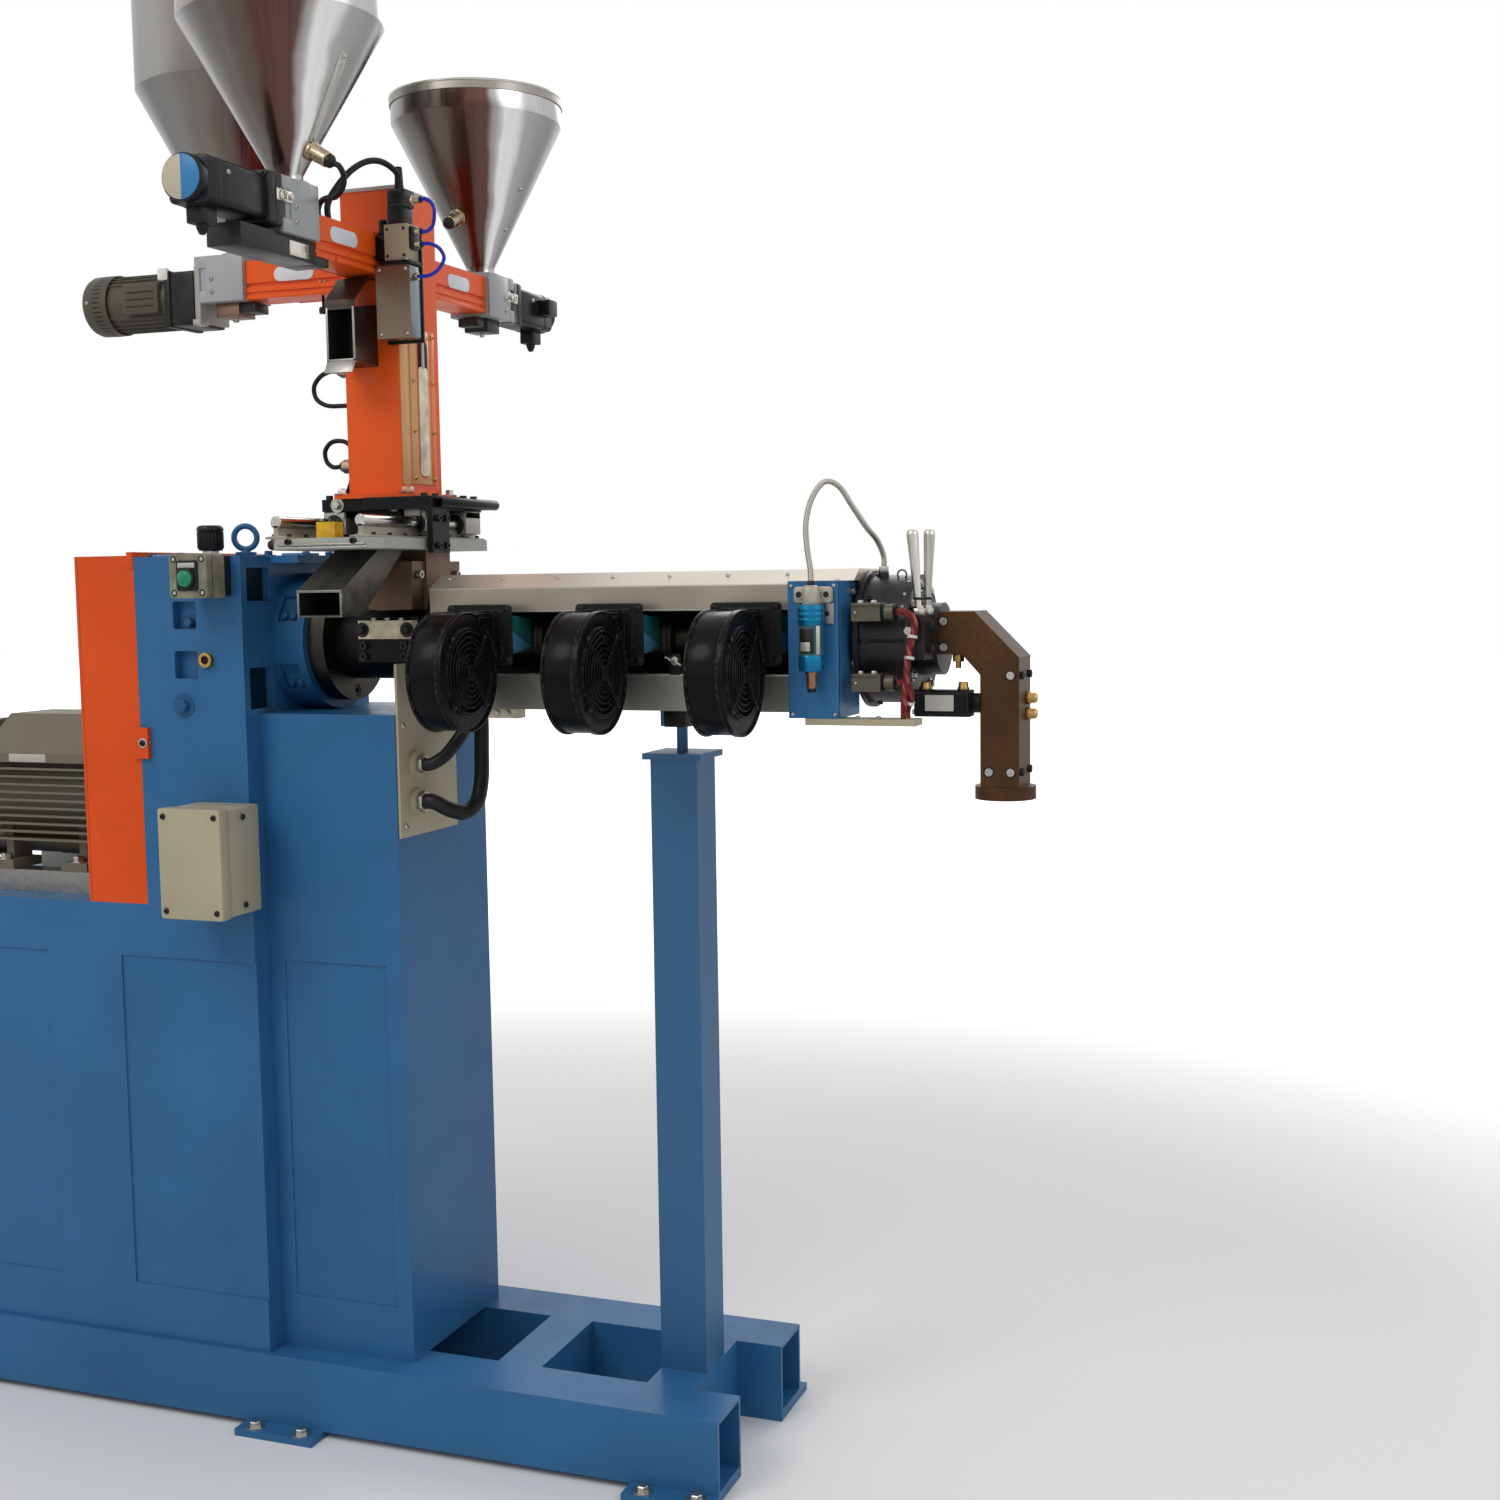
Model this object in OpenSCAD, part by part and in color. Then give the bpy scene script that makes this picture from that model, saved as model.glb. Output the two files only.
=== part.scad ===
/* [Barrel line] */
// Height of the barrel axis above the floor
axis_h = 1330; // [1200:10:1450]
// Diameter of the bare barrel
barrel_d = 72; // [60:2:84]
// Diameter over the heater bands
heater_d = 110; // [100:2:124]
// Length of the covered part of the barrel
cover_len = 715; // [640:5:900]
// Half width of the barrel cover
cover_half = 100; // [92:1:125]
// Height of the cover's ridge above the axis
cover_top = 108; // [104:1:130]
// Depth of the cover's bottom below the axis
cover_bottom = 108; // [100:1:130]
// Thickness of the cover sheet
sheet = 2; // [1.5:0.5:3]

/* [Gearbox] */
// Length of the gearbox along the barrel
gear_len = 210; // [180:5:280]
// Width of the gearbox across the barrel
gear_w = 380; // [340:10:460]
// Height of the gearbox top above the barrel axis
gear_rise = 145; // [135:5:180]
// Depth of the gearbox foot below the barrel axis
gear_drop = 440; // [420:10:460]
// Length of the round neck
neck_len = 65; // [50:5:100]
// Diameter of the round neck
neck_d = 232; // [210:2:250]
// Thickness of the neck flange
flange_t = 30; // [20:1:40]
// Diameter of the neck flange
flange_d = 204; // [180:2:220]

/* [Drive] */
// Width of the belt guard along the barrel
guard_t = 120; // [90:5:150]
// Length of the motor body
motor_len = 400; // [320:10:460]
// Diameter of the motor body
motor_d = 236; // [210:2:250]
// Height of the motor shaft above its feet
motor_h = 132; // [130:1:150]
// Height of the motor slide rails
motor_rail_h = 38; // [25:1:50]

/* [Frame] */
// Height of the skid tubes
skid_h = 120; // [80:5:150]
// Width of the skid tubes
skid_w = 100; // [80:5:120]
// Thickness of the foot plates
foot_t = 12; // [8:1:20]
// Half width of the pedestal
ped_half = 150; // [130:5:170]
// Length of the pedestal past the neck flange
ped_reach = 160; // [155:5:175]

/* [Feed and slide] */
// Distance of the feed throat from the neck flange
feed_x = 88; // [86:1:92]
// Bore of the feed throat
throat_d = 50; // [40:1:56]
// Width of the slide plate
plate_w = 202; // [196:1:208]
// Thickness of the slide plate
plate_t = 18; // [14:1:24]
// Height of the slide plate's underside above the axis
plate_rise = 150; // [148:1:170]
// Travel of the dosing station to the purge chute
travel = 100; // [84:2:104]
// Diameter of the slide rails
rail_d = 20; // [16:1:22]
// Distance between the slide rails
rail_gap = 154; // [152:1:157]
// Running clearance under the sliding station
run_gap = 5; // [5:0.5:8]
// Clearance between parts that only face each other
face_gap = 0.3; // [0.2:0.1:0.6]

/* [Dosing station] */
// Width of the dosing column along the barrel
col_w = 100; // [90:2:110]
// Depth of the dosing column
col_d = 130; // [120:2:140]
// Height of the dosing column
col_h = 488; // [470:2:560]
// Side of the dosing arms
arm_s = 64; // [56:2:70]
// Diameter of the front and rear hoppers
hopper_d = 306; // [260:2:330]
// Diameter of the left hopper
hopper_left_d = 326; // [280:2:340]
// Wall of the hoppers
hopper_wall = 2; // [1.5:0.5:4]

/* [Cooling] */
// Number of heating and cooling zones
blower_count = 3; // [2:1:3]
// Diameter of the blower scroll
blower_d = 186; // [160:2:190]
// Thickness of the blower scroll
blower_t = 58; // [50:1:70]

/* [Hidden] */
$fn = 64;
eps = 0.01;

// Stations along the barrel, from the neck flange's front face
neck_x = -flange_t - neck_len;
gear_x = neck_x - gear_len;
guard_x = gear_x - guard_t;
motor_x = guard_x - motor_len;
gear_top = axis_h + gear_rise;
gear_foot = axis_h - gear_drop;
gear_half = gear_w / 2;

// Feed section
house_len = 170;
house_half = 95;
house_up = 40;
house_d = 130;
ceramic_d = 20;
barrel_x = house_len;
barrel_flange_t = 18;
cover_x = 203;
cover_end = cover_x + cover_len;

// Slide
plate_z = axis_h + plate_rise;
plate_top = plate_z + plate_t;
plate_front = -250;
plate_back = 130;
plate_x0 = feed_x - 91;
plate_x1 = plate_x0 + plate_w;
rail_z = plate_top + 26;
bearing_h = 33;
carriage_t = 20;
carriage_z = rail_z + 22;
carriage_top = carriage_z + carriage_t;
col_z = carriage_top + 8;
col_top = col_z + col_h;

// Dosing units: front, left and rear, with the direction of each arm
arm_z = [col_z + 383, col_z + 368, col_z + 368];
block_top_z = [col_z + 454, col_z + 413, col_z + 408];

// Head: a thin lip, a dark drum and a hub on it
head_x = cover_end;
lip_d = 210;
lip_t = 8;
drum_d = 196;
drum_t = 74;
hub_d = 110;
hub_t = 34;
hub_x = head_x + lip_t + drum_t;
adapter_x = hub_x + hub_t;

steel = [0.72, 0.71, 0.68];
blue = [0.10, 0.36, 0.60];
orange = [0.87, 0.30, 0.06];
black = [0.07, 0.07, 0.07];
cream = [0.80, 0.77, 0.66];
grey = [0.45, 0.46, 0.47];
dark_steel = [0.25, 0.23, 0.21];

// A box given by its lowest and highest corners
module span(a, b) {
    translate(a) cube(b - a);
}

// A box with its edges along one axis rounded
module rounded_span(a, b, r, along = "x") {
    s = b - a;
    translate(a)
        if (along == "x")
            rotate([90, 0, 90]) linear_extrude(s[0]) soft_square(s[1], s[2], r);
        else if (along == "y")
            translate([0, s[1], 0]) rotate([90, 0, 0]) linear_extrude(s[1]) soft_square(s[0], s[2], r);
        else
            linear_extrude(s[2]) soft_square(s[0], s[1], r);
}

module soft_square(w, h, r) {
    translate([r, 0]) square([w - 2 * r, h]);
    translate([0, r]) square([w, h - 2 * r]);
    for (x = [r, w - r], y = [r, h - r]) translate([x, y]) circle(r);
}

// A round bar from one point along one axis
module bar_x(p, d, l) { translate(p) rotate([0, 90, 0]) cylinder(d = d, h = l); }
module bar_y(p, d, l) { translate(p) rotate([-90, 0, 0]) cylinder(d = d, h = l); }
module bar_z(p, d, l) { translate(p) cylinder(d = d, h = l); }

// A flat outline in Y and Z, drawn out along X
module along_x(x, l) {
    translate([x, 0, 0]) rotate([90, 0, 90]) linear_extrude(l) children();
}

// A flat outline in X and Z, drawn out along Y
module along_y(y, l) {
    translate([0, y + l, 0]) rotate([90, 0, 0]) linear_extrude(l) children();
}

// A lead's smooth route through hand-chosen points
function bend(a, b, c, d, t) =
    0.5 * (2 * b + (c - a) * t + (2 * a - 5 * b + 4 * c - d) * t * t
        + (3 * b - a - 3 * c + d) * t * t * t);
function route(p, n) = [
    for (i = [0 : len(p) - 2], k = [0 : n - 1])
        bend(p[max(i - 1, 0)], p[i], p[i + 1], p[min(i + 2, len(p) - 1)], k / n),
    p[len(p) - 1]
];
function unit(v) = v / norm(v);
function heading(p, i) = unit(p[i + 1] - p[i - 1]);

// A tube of a few sides swept along a route, level with the vector up
module lead(points, d, up, sides = 8, steps = 3) {
    p = route(points, steps);
    ends = [unit(points[1] - points[0]), unit(points[len(points) - 1] - points[len(points) - 2])];
    rings = [
        for (i = [0 : len(p) - 1])
            let (t = i == 0 ? ends[0] : i == len(p) - 1 ? ends[1] : heading(p, i),
                n = unit(up - (up * t) * t), b = cross(t, n))
                for (k = [0 : sides - 1])
                    p[i] + d / 2 * (cos(360 * k / sides) * n + sin(360 * k / sides) * b)
    ];
    last = (len(p) - 1) * sides;
    faces = concat(
        [[for (k = [0 : sides - 1]) k]],
        [for (i = [0 : len(p) - 2], k = [0 : sides - 1])
            let (a = i * sides + k, c = i * sides + (k + 1) % sides)
                [a, a + sides, c + sides, c]],
        [[for (k = [sides - 1 : -1 : 0]) last + k]]
    );
    polyhedron(rings, faces, convexity = 6);
}

// Welded skid under the machine, on foot plates
skid_x0 = motor_x - 25;
skid_x1 = 720;
skid_y = ped_half;
skid_z = foot_t + skid_h;
skid_wall = 6;
cross_w = 80;
cross_x = [skid_x0 + 60, gear_x, 0, 330, 600];
foot_len = 150;
foot_hole_x = 45;

module skid_rails() color(blue) {
    for (s = [-1, 1]) {
        difference() {
            span([skid_x0, s * skid_y - skid_w / 2, foot_t], [skid_x1, s * skid_y + skid_w / 2, skid_z]);
            for (x = [skid_x0 - eps, skid_x1 - 40 + eps])
                span([x, s * skid_y - skid_w / 2 + skid_wall, foot_t + skid_wall],
                    [x + 40, s * skid_y + skid_w / 2 - skid_wall, skid_z - skid_wall]);
        }
        for (x = [skid_x0 + foot_len / 2, (skid_x0 + skid_x1) / 2, skid_x1 - foot_len / 2])
            foot_plate(x, s * (skid_y + 18), skid_w + 36);
    }
}

module foot_plate(x, y, w) {
    difference() {
        span([x - foot_len / 2, y - w / 2, 0], [x + foot_len / 2, y + w / 2, foot_t]);
        side = y < 0 ? -1 : 1;
        for (dx = [-foot_hole_x, foot_hole_x])
            translate([x + dx, y + side * (w / 2 - 18), -1]) cylinder(d = 14, h = foot_t + 2);
    }
}

module skid_crossmembers() color(blue)
    for (x = cross_x) {
        span([x - cross_w / 2, -skid_y + skid_w / 2, foot_t], [x + cross_w / 2, skid_y - skid_w / 2, skid_z]);
        if (x == 0) span([-60, -70, 0], [60, 70, foot_t]);
    }

// Cabinets that carry the drive and the neck
stand_half = gear_half;
module drive_stand() color(blue)
    difference() {
        span([skid_x0 + 20, -stand_half, skid_z], [neck_x, stand_half, gear_foot]);
        for (s = [-1, 1], x = [skid_x0 + 60, gear_x - 60])
            span([x, s > 0 ? stand_half - 3 : -stand_half - 1, skid_z + 90],
                [x + 270, s > 0 ? stand_half + 1 : -stand_half + 3, gear_foot - 90]);
    }

ped_top = axis_h - neck_d / 2 - face_gap;
module pedestal() color(blue)
    difference() {
        span([neck_x, -ped_half, skid_z], [ped_reach, ped_half, ped_top]);
        for (s = [-1, 1])
            span([neck_x + 30, s > 0 ? ped_half - 3 : -ped_half - 1, skid_z + 90],
                [ped_reach - 30, s > 0 ? ped_half + 1 : -ped_half + 3, 800]);
    }

// Cream connector panel on the end of the pedestal
panel_t = 5;
panel_z0 = axis_h - 318;
port_z = [axis_h - 200, axis_h - 262];
port_y = -98;
module side_panel() color(cream) {
    x = ped_reach;
    span([x, -ped_half + 3, panel_z0], [x + panel_t, 40, ped_top]);
    span([x, -ped_half + 3, ped_top], [x + panel_t, -88, axis_h - 34]);
    for (z = port_z) bar_x([x + panel_t, port_y, z], 44, 10);
}

module panel_hoses() color(black) {
    x = ped_reach + panel_t + 10;
    low = port_z[1];
    high = port_z[0];
    end = low_z - face_gap;
    lead([[x + face_gap, port_y, low], [x + 24, port_y, low], [x + 46, port_y + 14, low - 14],
        [x + 62, port_y + 40, low - 20], [x + 68, -32, low - 4], [x + 66, -12, low + 32],
        [x + 62, -2, low + 72], [x + 62, 0, low + 112], [x + 62, 0, end]], 26, [0, 1, 0.2], 10, 2);
    lead([[x + face_gap, port_y, high], [x + 20, port_y, high], [x + 38, port_y + 12, high + 12],
        [x + 48, port_y + 32, high + 32], [x + 58, port_y + 46, high + 54], [x + 62, port_y + 50, high + 72],
        [x + 62, port_y + 50, end]], 22, [1, 0, 0.3], 10, 2);
}

// Motor on its slide rails
motor_z = gear_foot + motor_rail_h + motor_h;
motor_foot_w = 216;
fin_count = 10;
fin_step = 14;
motor_half = 132;
module motor_rails() color(grey)
    for (y = [-motor_foot_w / 2, motor_foot_w / 2])
        span([motor_x + 60, y - 22, gear_foot], [guard_x - 50, y + 22, gear_foot + motor_rail_h]);

module drive_motor() color([0.38, 0.37, 0.33]) {
    foot_z = gear_foot + motor_rail_h;
    cowl_l = 80;
    bar_x([motor_x + cowl_l, 0, motor_z], motor_d, motor_len - cowl_l);
    bar_x([motor_x, 0, motor_z], motor_d + 20, cowl_l);
    // Cast top with the sloping lips
    along_x(guard_x - 270, 250)
        polygon([[-55, motor_z + 141], [55, motor_z + 141], [motor_half, motor_z + 76],
            [motor_half, motor_z + 60], [-motor_half, motor_z + 60], [-motor_half, motor_z + 76]]);
    // Cooling fins along both sides
    for (s = [-1, 1], k = [0 : fin_count - 1])
        span([guard_x - 265, s > 0 ? 0 : -motor_half + 4, motor_z + 46 - k * fin_step],
            [guard_x - 25, s > 0 ? motor_half - 4 : 0, motor_z + 50 - k * fin_step]);
    // Feet
    for (x = [guard_x - 80, guard_x - 240], y = [-1, 1])
        span([x - 28, y > 0 ? 60 : -motor_half, foot_z], [x + 28, y > 0 ? motor_half : -60, foot_z + 16]);
    for (x = [guard_x - 80, guard_x - 240], y = [-1, 1])
        span([x - 8, y > 0 ? 60 : -106, foot_z + 16], [x + 8, y > 0 ? 106 : -60, motor_z - 40]);
    // Drive-end shield against the guard
    bar_x([guard_x - 20, 0, motor_z], motor_d - 30, 20);
}

// Lifting eyes of the motor and the gearbox
module eye(p, r, wire, base) translate(p) {
    cylinder(d = base, h = 8);
    cylinder(d = wire * 1.4, h = 12);
    translate([0, 0, 8 + r + wire / 2]) rotate([90, 0, 20])
        rotate_extrude() translate([r, 0]) circle(d = wire, $fn = 24);
}
eye_x = gear_x + 128;
module lifting_eyes() {
    color(black) eye([guard_x - 120, 0, motor_z + 141], 17, 9, 40);
    color(blue) eye([eye_x, -55, gear_top], 19.5, 10, 36);
}

// Belt guard
guard_bottom = gear_foot;
lug_z = axis_h - 165;
module belt_guard() color(orange)
    difference() {
        union() {
            span([guard_x, -gear_half, guard_bottom], [gear_x, gear_half, gear_top + 3]);
            span([gear_x, -gear_half - 8, lug_z - 26], [gear_x + 20, -gear_half, lug_z + 26]);
            span([gear_x - 12, -gear_half - 8, lug_z - 26], [gear_x, -gear_half, lug_z + 26]);
        }
        bar_y([gear_x + 10, -gear_half - 9, lug_z], 9, 8);
    }

// Gearbox housing with its pockets and the recesses round the neck
pocket = 46;
pocket_depth = 18;
pocket_x = gear_x + 98;
pocket_z = [axis_h + 48, axis_h - 34];
module gearbox_housing() color(blue) {
    difference() {
        span([gear_x, -gear_half, gear_foot], [neck_x, gear_half, gear_top]);
        for (z = pocket_z)
            translate([pocket_x - pocket / 2, -gear_half - 1, z - pocket / 2])
                rounded_span([0, 0, 0], [pocket, pocket_depth + 1, pocket], 4, "y");
        span([neck_x - 14, -gear_half + 16, axis_h + 70], [neck_x + 1, -neck_d / 2 + 6, gear_top - 20]);
        span([neck_x - 14, -gear_half + 16, ped_top + 8], [neck_x + 1, -neck_d / 2 + 6, axis_h - 40]);
    }
    span([neck_x, -neck_d / 2 + 10, gear_top - 13], [neck_x + neck_len - 10, gear_half, gear_top]);
}

plug_x = gear_x + 141;
cap_x = gear_x + 104;
module gearbox_fittings() {
    color("goldenrod") difference() {
        bar_y([plug_x, -gear_half - 10, axis_h - 26], 25, 10);
        bar_y([plug_x, -gear_half - 11, axis_h - 26], 14, 8);
    }
    color(blue) translate([pocket_x - 8, -gear_half, axis_h - 102])
        rotate([90, 0, 0]) cylinder(d = 22, h = 12, $fn = 6);
    color(blue) translate([pocket_x, -gear_half + pocket_depth, axis_h + 36])
        rotate([90, 0, 0]) cylinder(d = 16, h = 12, $fn = 6);
}

// Breather on the gearbox top
module breather_cap() color(black) {
    bar_z([cap_x, -120, gear_top], 30, 10);
    bar_z([cap_x, -120, gear_top + 10], 44, 42);
}

// Start station on the gearbox front
button_c = [gear_x + 160, axis_h + 112];
box_side = 72;
module push_button_box() {
    x0 = button_c[0] - box_side / 2;
    z0 = button_c[1] - box_side / 2;
    color(black) span([x0 + 4, -gear_half - 22, z0 + 3], [x0 + box_side - 4, -gear_half, z0 + box_side - 3]);
    color([0.55, 0.52, 0.45])
        rounded_span([x0, -gear_half - 70, z0], [x0 + box_side, -gear_half - 22, z0 + box_side], 6, "y");
}
module start_button() color("seagreen") {
    y = -gear_half - 70;
    bar_y([button_c[0], y - 8, button_c[1] - 2], 34, 8);
    bar_y([button_c[0], y - 14, button_c[1] - 2], 27, 6);
}

// Junction box on the gearbox front, down to the housing's foot
jb_x0 = gear_x + 110;
jb_w = 119;
jb_d = 108;
jb_h = 180;
gland_len = 16;
module junction_box() color(cream) {
    rounded_span([jb_x0, -gear_half - jb_d, gear_foot], [jb_x0 + jb_w, -gear_half, gear_foot + jb_h], 5, "y");
    bar_x([jb_x0 - gland_len, -gear_half - 60, gear_foot + 130], 30, gland_len);
}

// Round thrust housing with windows for its bolts
module thrust_housing() color(blue)
    difference() {
        bar_x([neck_x, 0, axis_h], neck_d, neck_len);
        for (a = [30, 90, 150, 210, 270, 330])
            translate([neck_x + 14, 0, axis_h]) rotate([a - 90, 0, 0])
                span([0, -24, neck_d / 2 - 16], [neck_len - 28, 24, neck_d / 2 + 10]);
        span([neck_x - 1, -neck_d, gear_top - 13], [neck_len, neck_d, gear_top + 60]);
    }

module neck_flange() color(dark_steel)
    difference() {
        bar_x([-flange_t, 0, axis_h], flange_d, flange_t);
        for (a = [0 : 60 : 300])
            translate([-10, 0, axis_h]) rotate([a + 30, 0, 0]) translate([0, flange_d / 2 - 16, 0])
                rotate([0, 90, 0]) cylinder(d = 20, h = 11);
    }

// Feed housing round the first flights of the screw
module feed_housing() color(black)
    difference() {
        union() {
            bar_x([0, 0, axis_h], house_d, house_len);
            span([feed_x - 26, -house_half, axis_h - 33], [house_len - 4, house_half, axis_h + 5]);
            span([feed_x - 26, -house_half + ceramic_d, axis_h + 5],
                [house_len - 4, house_half - ceramic_d, axis_h + house_up]);
        }
        translate([feed_x, 0, axis_h]) cylinder(d = throat_d, h = 80);
    }

module ceramic_terminals() color(cream) {
    span([feed_x - 24, -house_half, axis_h + 5], [house_len - 6, -house_half + ceramic_d, axis_h + 35]);
    span([cover_x + 60, -62, axis_h - cover_bottom - 18], [cover_x + 134, -34, axis_h - cover_bottom]);
}

// Steel throat block between the feed housing and the slide plate
throat_half = 80;
core_half = 40;
module feed_throat() color(steel)
    difference() {
        z0 = axis_h + house_up;
        union() {
            along_y(-throat_half, 2 * throat_half)
                polygon([[feed_x + 18, plate_z - 18], [feed_x + 72, plate_z - 18], [feed_x + 70, z0 + 13],
                    [feed_x + 3, z0 + 11], [feed_x - 13, plate_z - 55]]);
            span([feed_x - 36, -core_half, z0], [feed_x + 76, core_half, plate_z]);
        }
        translate([feed_x, 0, z0 - 1]) cylinder(d = throat_d, h = 200);
        bar_x([-1, 0, axis_h], house_d + 2 * face_gap, house_len + 2);
    }

// Slide plate with the throat hole and the purge hole
corner = 22;
module slide_plate() color([0.66, 0.67, 0.66])
    difference() {
        translate([0, 0, plate_z]) linear_extrude(plate_t)
            polygon([[plate_x0 + corner, plate_front], [plate_x1 - corner, plate_front],
                [plate_x1, plate_front + corner], [plate_x1, plate_back - corner],
                [plate_x1 - corner, plate_back], [plate_x0 + corner, plate_back],
                [plate_x0, plate_back - corner], [plate_x0, plate_front + corner]]);
        for (y = [0, -travel]) translate([feed_x, y, plate_z - 1]) cylinder(d = throat_d, h = plate_t + 2);
    }

// Purge chute under the purge hole: a bent rectangular tube
chute_w = throat_d + 30;
chute_wall = 3;
chute_x = feed_x + 12;
chute_front = plate_front - 12;
chute_back = -travel + throat_d / 2 + chute_wall;
module purge_chute() color(grey)
    difference() {
        along_x(chute_x - chute_w / 2, chute_w)
            polygon([[chute_back, plate_z], [-travel - 50, plate_z], [chute_front, plate_z - 64],
                [chute_front, plate_z - 106], [chute_front + 57, plate_z - 106]]);
        along_x(chute_x - chute_w / 2 + chute_wall, chute_w - 2 * chute_wall)
            polygon([[chute_back - chute_wall, plate_z + 1], [-travel - 42, plate_z + 1],
                [-travel - 48.5, plate_z - 2.6], [chute_front - 1, plate_z - 67.8],
                [chute_front - 1, plate_z - 103], [chute_front + 56, plate_z - 103],
                [chute_back - chute_wall, plate_z - 0.5]]);
    }

// Round rails on their supports
rail_x = [feed_x - rail_gap / 2, feed_x + rail_gap / 2];
rail_front = plate_front + 8;
rail_back = plate_back - 2;
module slide_rails() color([0.75, 0.76, 0.77])
    for (x = rail_x) {
        bar_y([x, rail_front, rail_z], rail_d, rail_back - rail_front);
        along_y(rail_front, rail_back - rail_front)
            polygon([[x - 20, plate_top], [x + 20, plate_top], [x + 20, plate_top + 3],
                [x + 4, plate_top + 5], [x + 4, rail_z - 8], [x - 4, rail_z - 8],
                [x - 4, plate_top + 5], [x - 20, plate_top + 3]]);
    }

// Barrel, heater bands and covers
barrel_end = head_x;
module barrel() color(dark_steel) {
    bar_x([barrel_x, 0, axis_h], 150, barrel_flange_t);
    bar_x([barrel_x + barrel_flange_t, 0, axis_h], barrel_d, barrel_end - barrel_x - barrel_flange_t);
}

zone_len = 140;
zone_x0 = cover_x + 107;
zone_x1 = cover_end - 86 - zone_len / 2 - 2;
blower_x = [for (k = [0 : blower_count - 1]) zone_x0 + k * (zone_x1 - zone_x0) / (blower_count - 1)];
module heater_bands() color([0.3, 0.3, 0.31])
    for (x = blower_x)
        difference() {
            bar_x([x - zone_len / 2, 0, axis_h], heater_d, zone_len);
            bar_x([x - zone_len / 2 - 1, 0, axis_h], barrel_d + 2 * face_gap, zone_len + 2);
        }

// The box stands in a cut at the cover's end
term_x = cover_end - 86;
term_y0 = -150;
term_y1 = -barrel_d / 2 - 2;
term_top = axis_h + 90;
side_low = axis_h + 47;
chamfer_z = axis_h + cover_top - 22;
chamfer_y = cover_half - 38;
module cover_outline(t)
    polygon([[-cover_half + t, side_low - (t > 0 ? 1 : 0)], [-cover_half + t, chamfer_z - t * 0.3],
        [-chamfer_y + t * 0.3, axis_h + cover_top - t], [chamfer_y - t * 0.3, axis_h + cover_top - t],
        [cover_half - t, chamfer_z - t * 0.3],
        [cover_half - t, low_z + low_cover_h + 1 - (t > 0 ? 1 : 0)]]);
module upper_cover() color(steel)
    difference() {
        union() {
            difference() {
                along_x(cover_x, cover_len) cover_outline(0);
                along_x(cover_x + sheet, cover_len - 2 * sheet) cover_outline(sheet);
            }
        }
        // Room for the barrel in the end walls
        bar_x([cover_x - 1, 0, axis_h], heater_d + 6, cover_len + 2);
        span([cover_x - 1, -cover_half - 1, low_z], [cover_end + 1, cover_half - sheet, side_low]);
        span([term_x, -cover_half - 1, low_z], [cover_end + 1, -18, term_top + face_gap]);
    }

low_z = axis_h - cover_bottom;
low_cover_h = 57;
module lower_cover() color(grey)
    difference() {
        span([cover_x, -cover_half, low_z], [term_x, cover_half, low_z + low_cover_h]);
        span([cover_x + sheet, -cover_half + sheet, low_z + sheet],
            [term_x - sheet, cover_half - sheet, low_z + low_cover_h + 3]);
        bar_x([cover_x - 1, 0, axis_h], heater_d + 6, cover_len + 2);
    }

// Cooling blowers on ducts
plate_y = -130;
blower_plate_t = 4;
blower_z = axis_h - 43;
blower_y = plate_y - blower_plate_t - 91;
duct_half = 52;
module blower_ducts() color("teal")
    for (x = blower_x)
        along_x(x - duct_half, 2 * duct_half)
            polygon([[plate_y, axis_h + 43], [plate_y, axis_h - 19], [-heater_d / 2 - face_gap, axis_h - 14],
                [-heater_d / 2 - face_gap, axis_h + 36]]);

module blowers() color(black)
    for (x = blower_x) {
        rounded_span([x - 57, plate_y - blower_plate_t, axis_h - 36], [x + 57, plate_y, axis_h + 60], 6, "y");
        difference() {
            union() {
                bar_x([x - blower_t / 2, blower_y, blower_z], blower_d, blower_t);
                span([x - blower_t / 2, blower_y, blower_z + 26],
                    [x + blower_t / 2, plate_y - blower_plate_t, blower_z + blower_d / 2]);
                bar_x([x + blower_t / 2, blower_y, blower_z], blower_d - 14, 4);
            }
            bar_x([x + blower_t / 2 - 8, blower_y, blower_z], grille_d, 13);
        }
    }

grille_d = 130;
ring_count = 6;
module blower_grilles() color(black)
    for (x = blower_x) translate([x + blower_t / 2 - 2, blower_y, blower_z]) rotate([0, 90, 0]) {
        for (k = [0 : ring_count - 1]) difference() {
            r = grille_d / 2 - face_gap - k * 9.5;
            cylinder(r = r, h = 4);
            translate([0, 0, -1]) cylinder(r = r - 3.5, h = 6);
        }
        cylinder(r = 9, h = 5);
        for (a = [45, 135]) rotate(a) translate([-grille_d / 2 + 2, -2, 0]) cube([grille_d - 4, 4, 3]);
    }

// Terminal box and pressure transmitter at the barrel's end
module terminal_box() color(blue)
    rounded_span([term_x, term_y0, low_z - 5], [cover_end - 8, term_y1, term_top], 3, "z");

tx_x = term_x + 44;
tx_y = term_y0 - 22;
module pressure_transmitter() {
    color([0.85, 0.84, 0.82]) {
        span([tx_x - 30, term_y0 - 12, axis_h + 58], [tx_x + 28, term_y0, axis_h + 82]);
        bar_z([tx_x, tx_y, axis_h + 56], 26, 28);
    }
    color([0.10, 0.42, 0.66]) bar_z([tx_x, tx_y, axis_h - 42], 38, 98);
    color([0.65, 0.5, 0.42]) bar_z([tx_x, tx_y, axis_h - 69], 16, 27);
}

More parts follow.
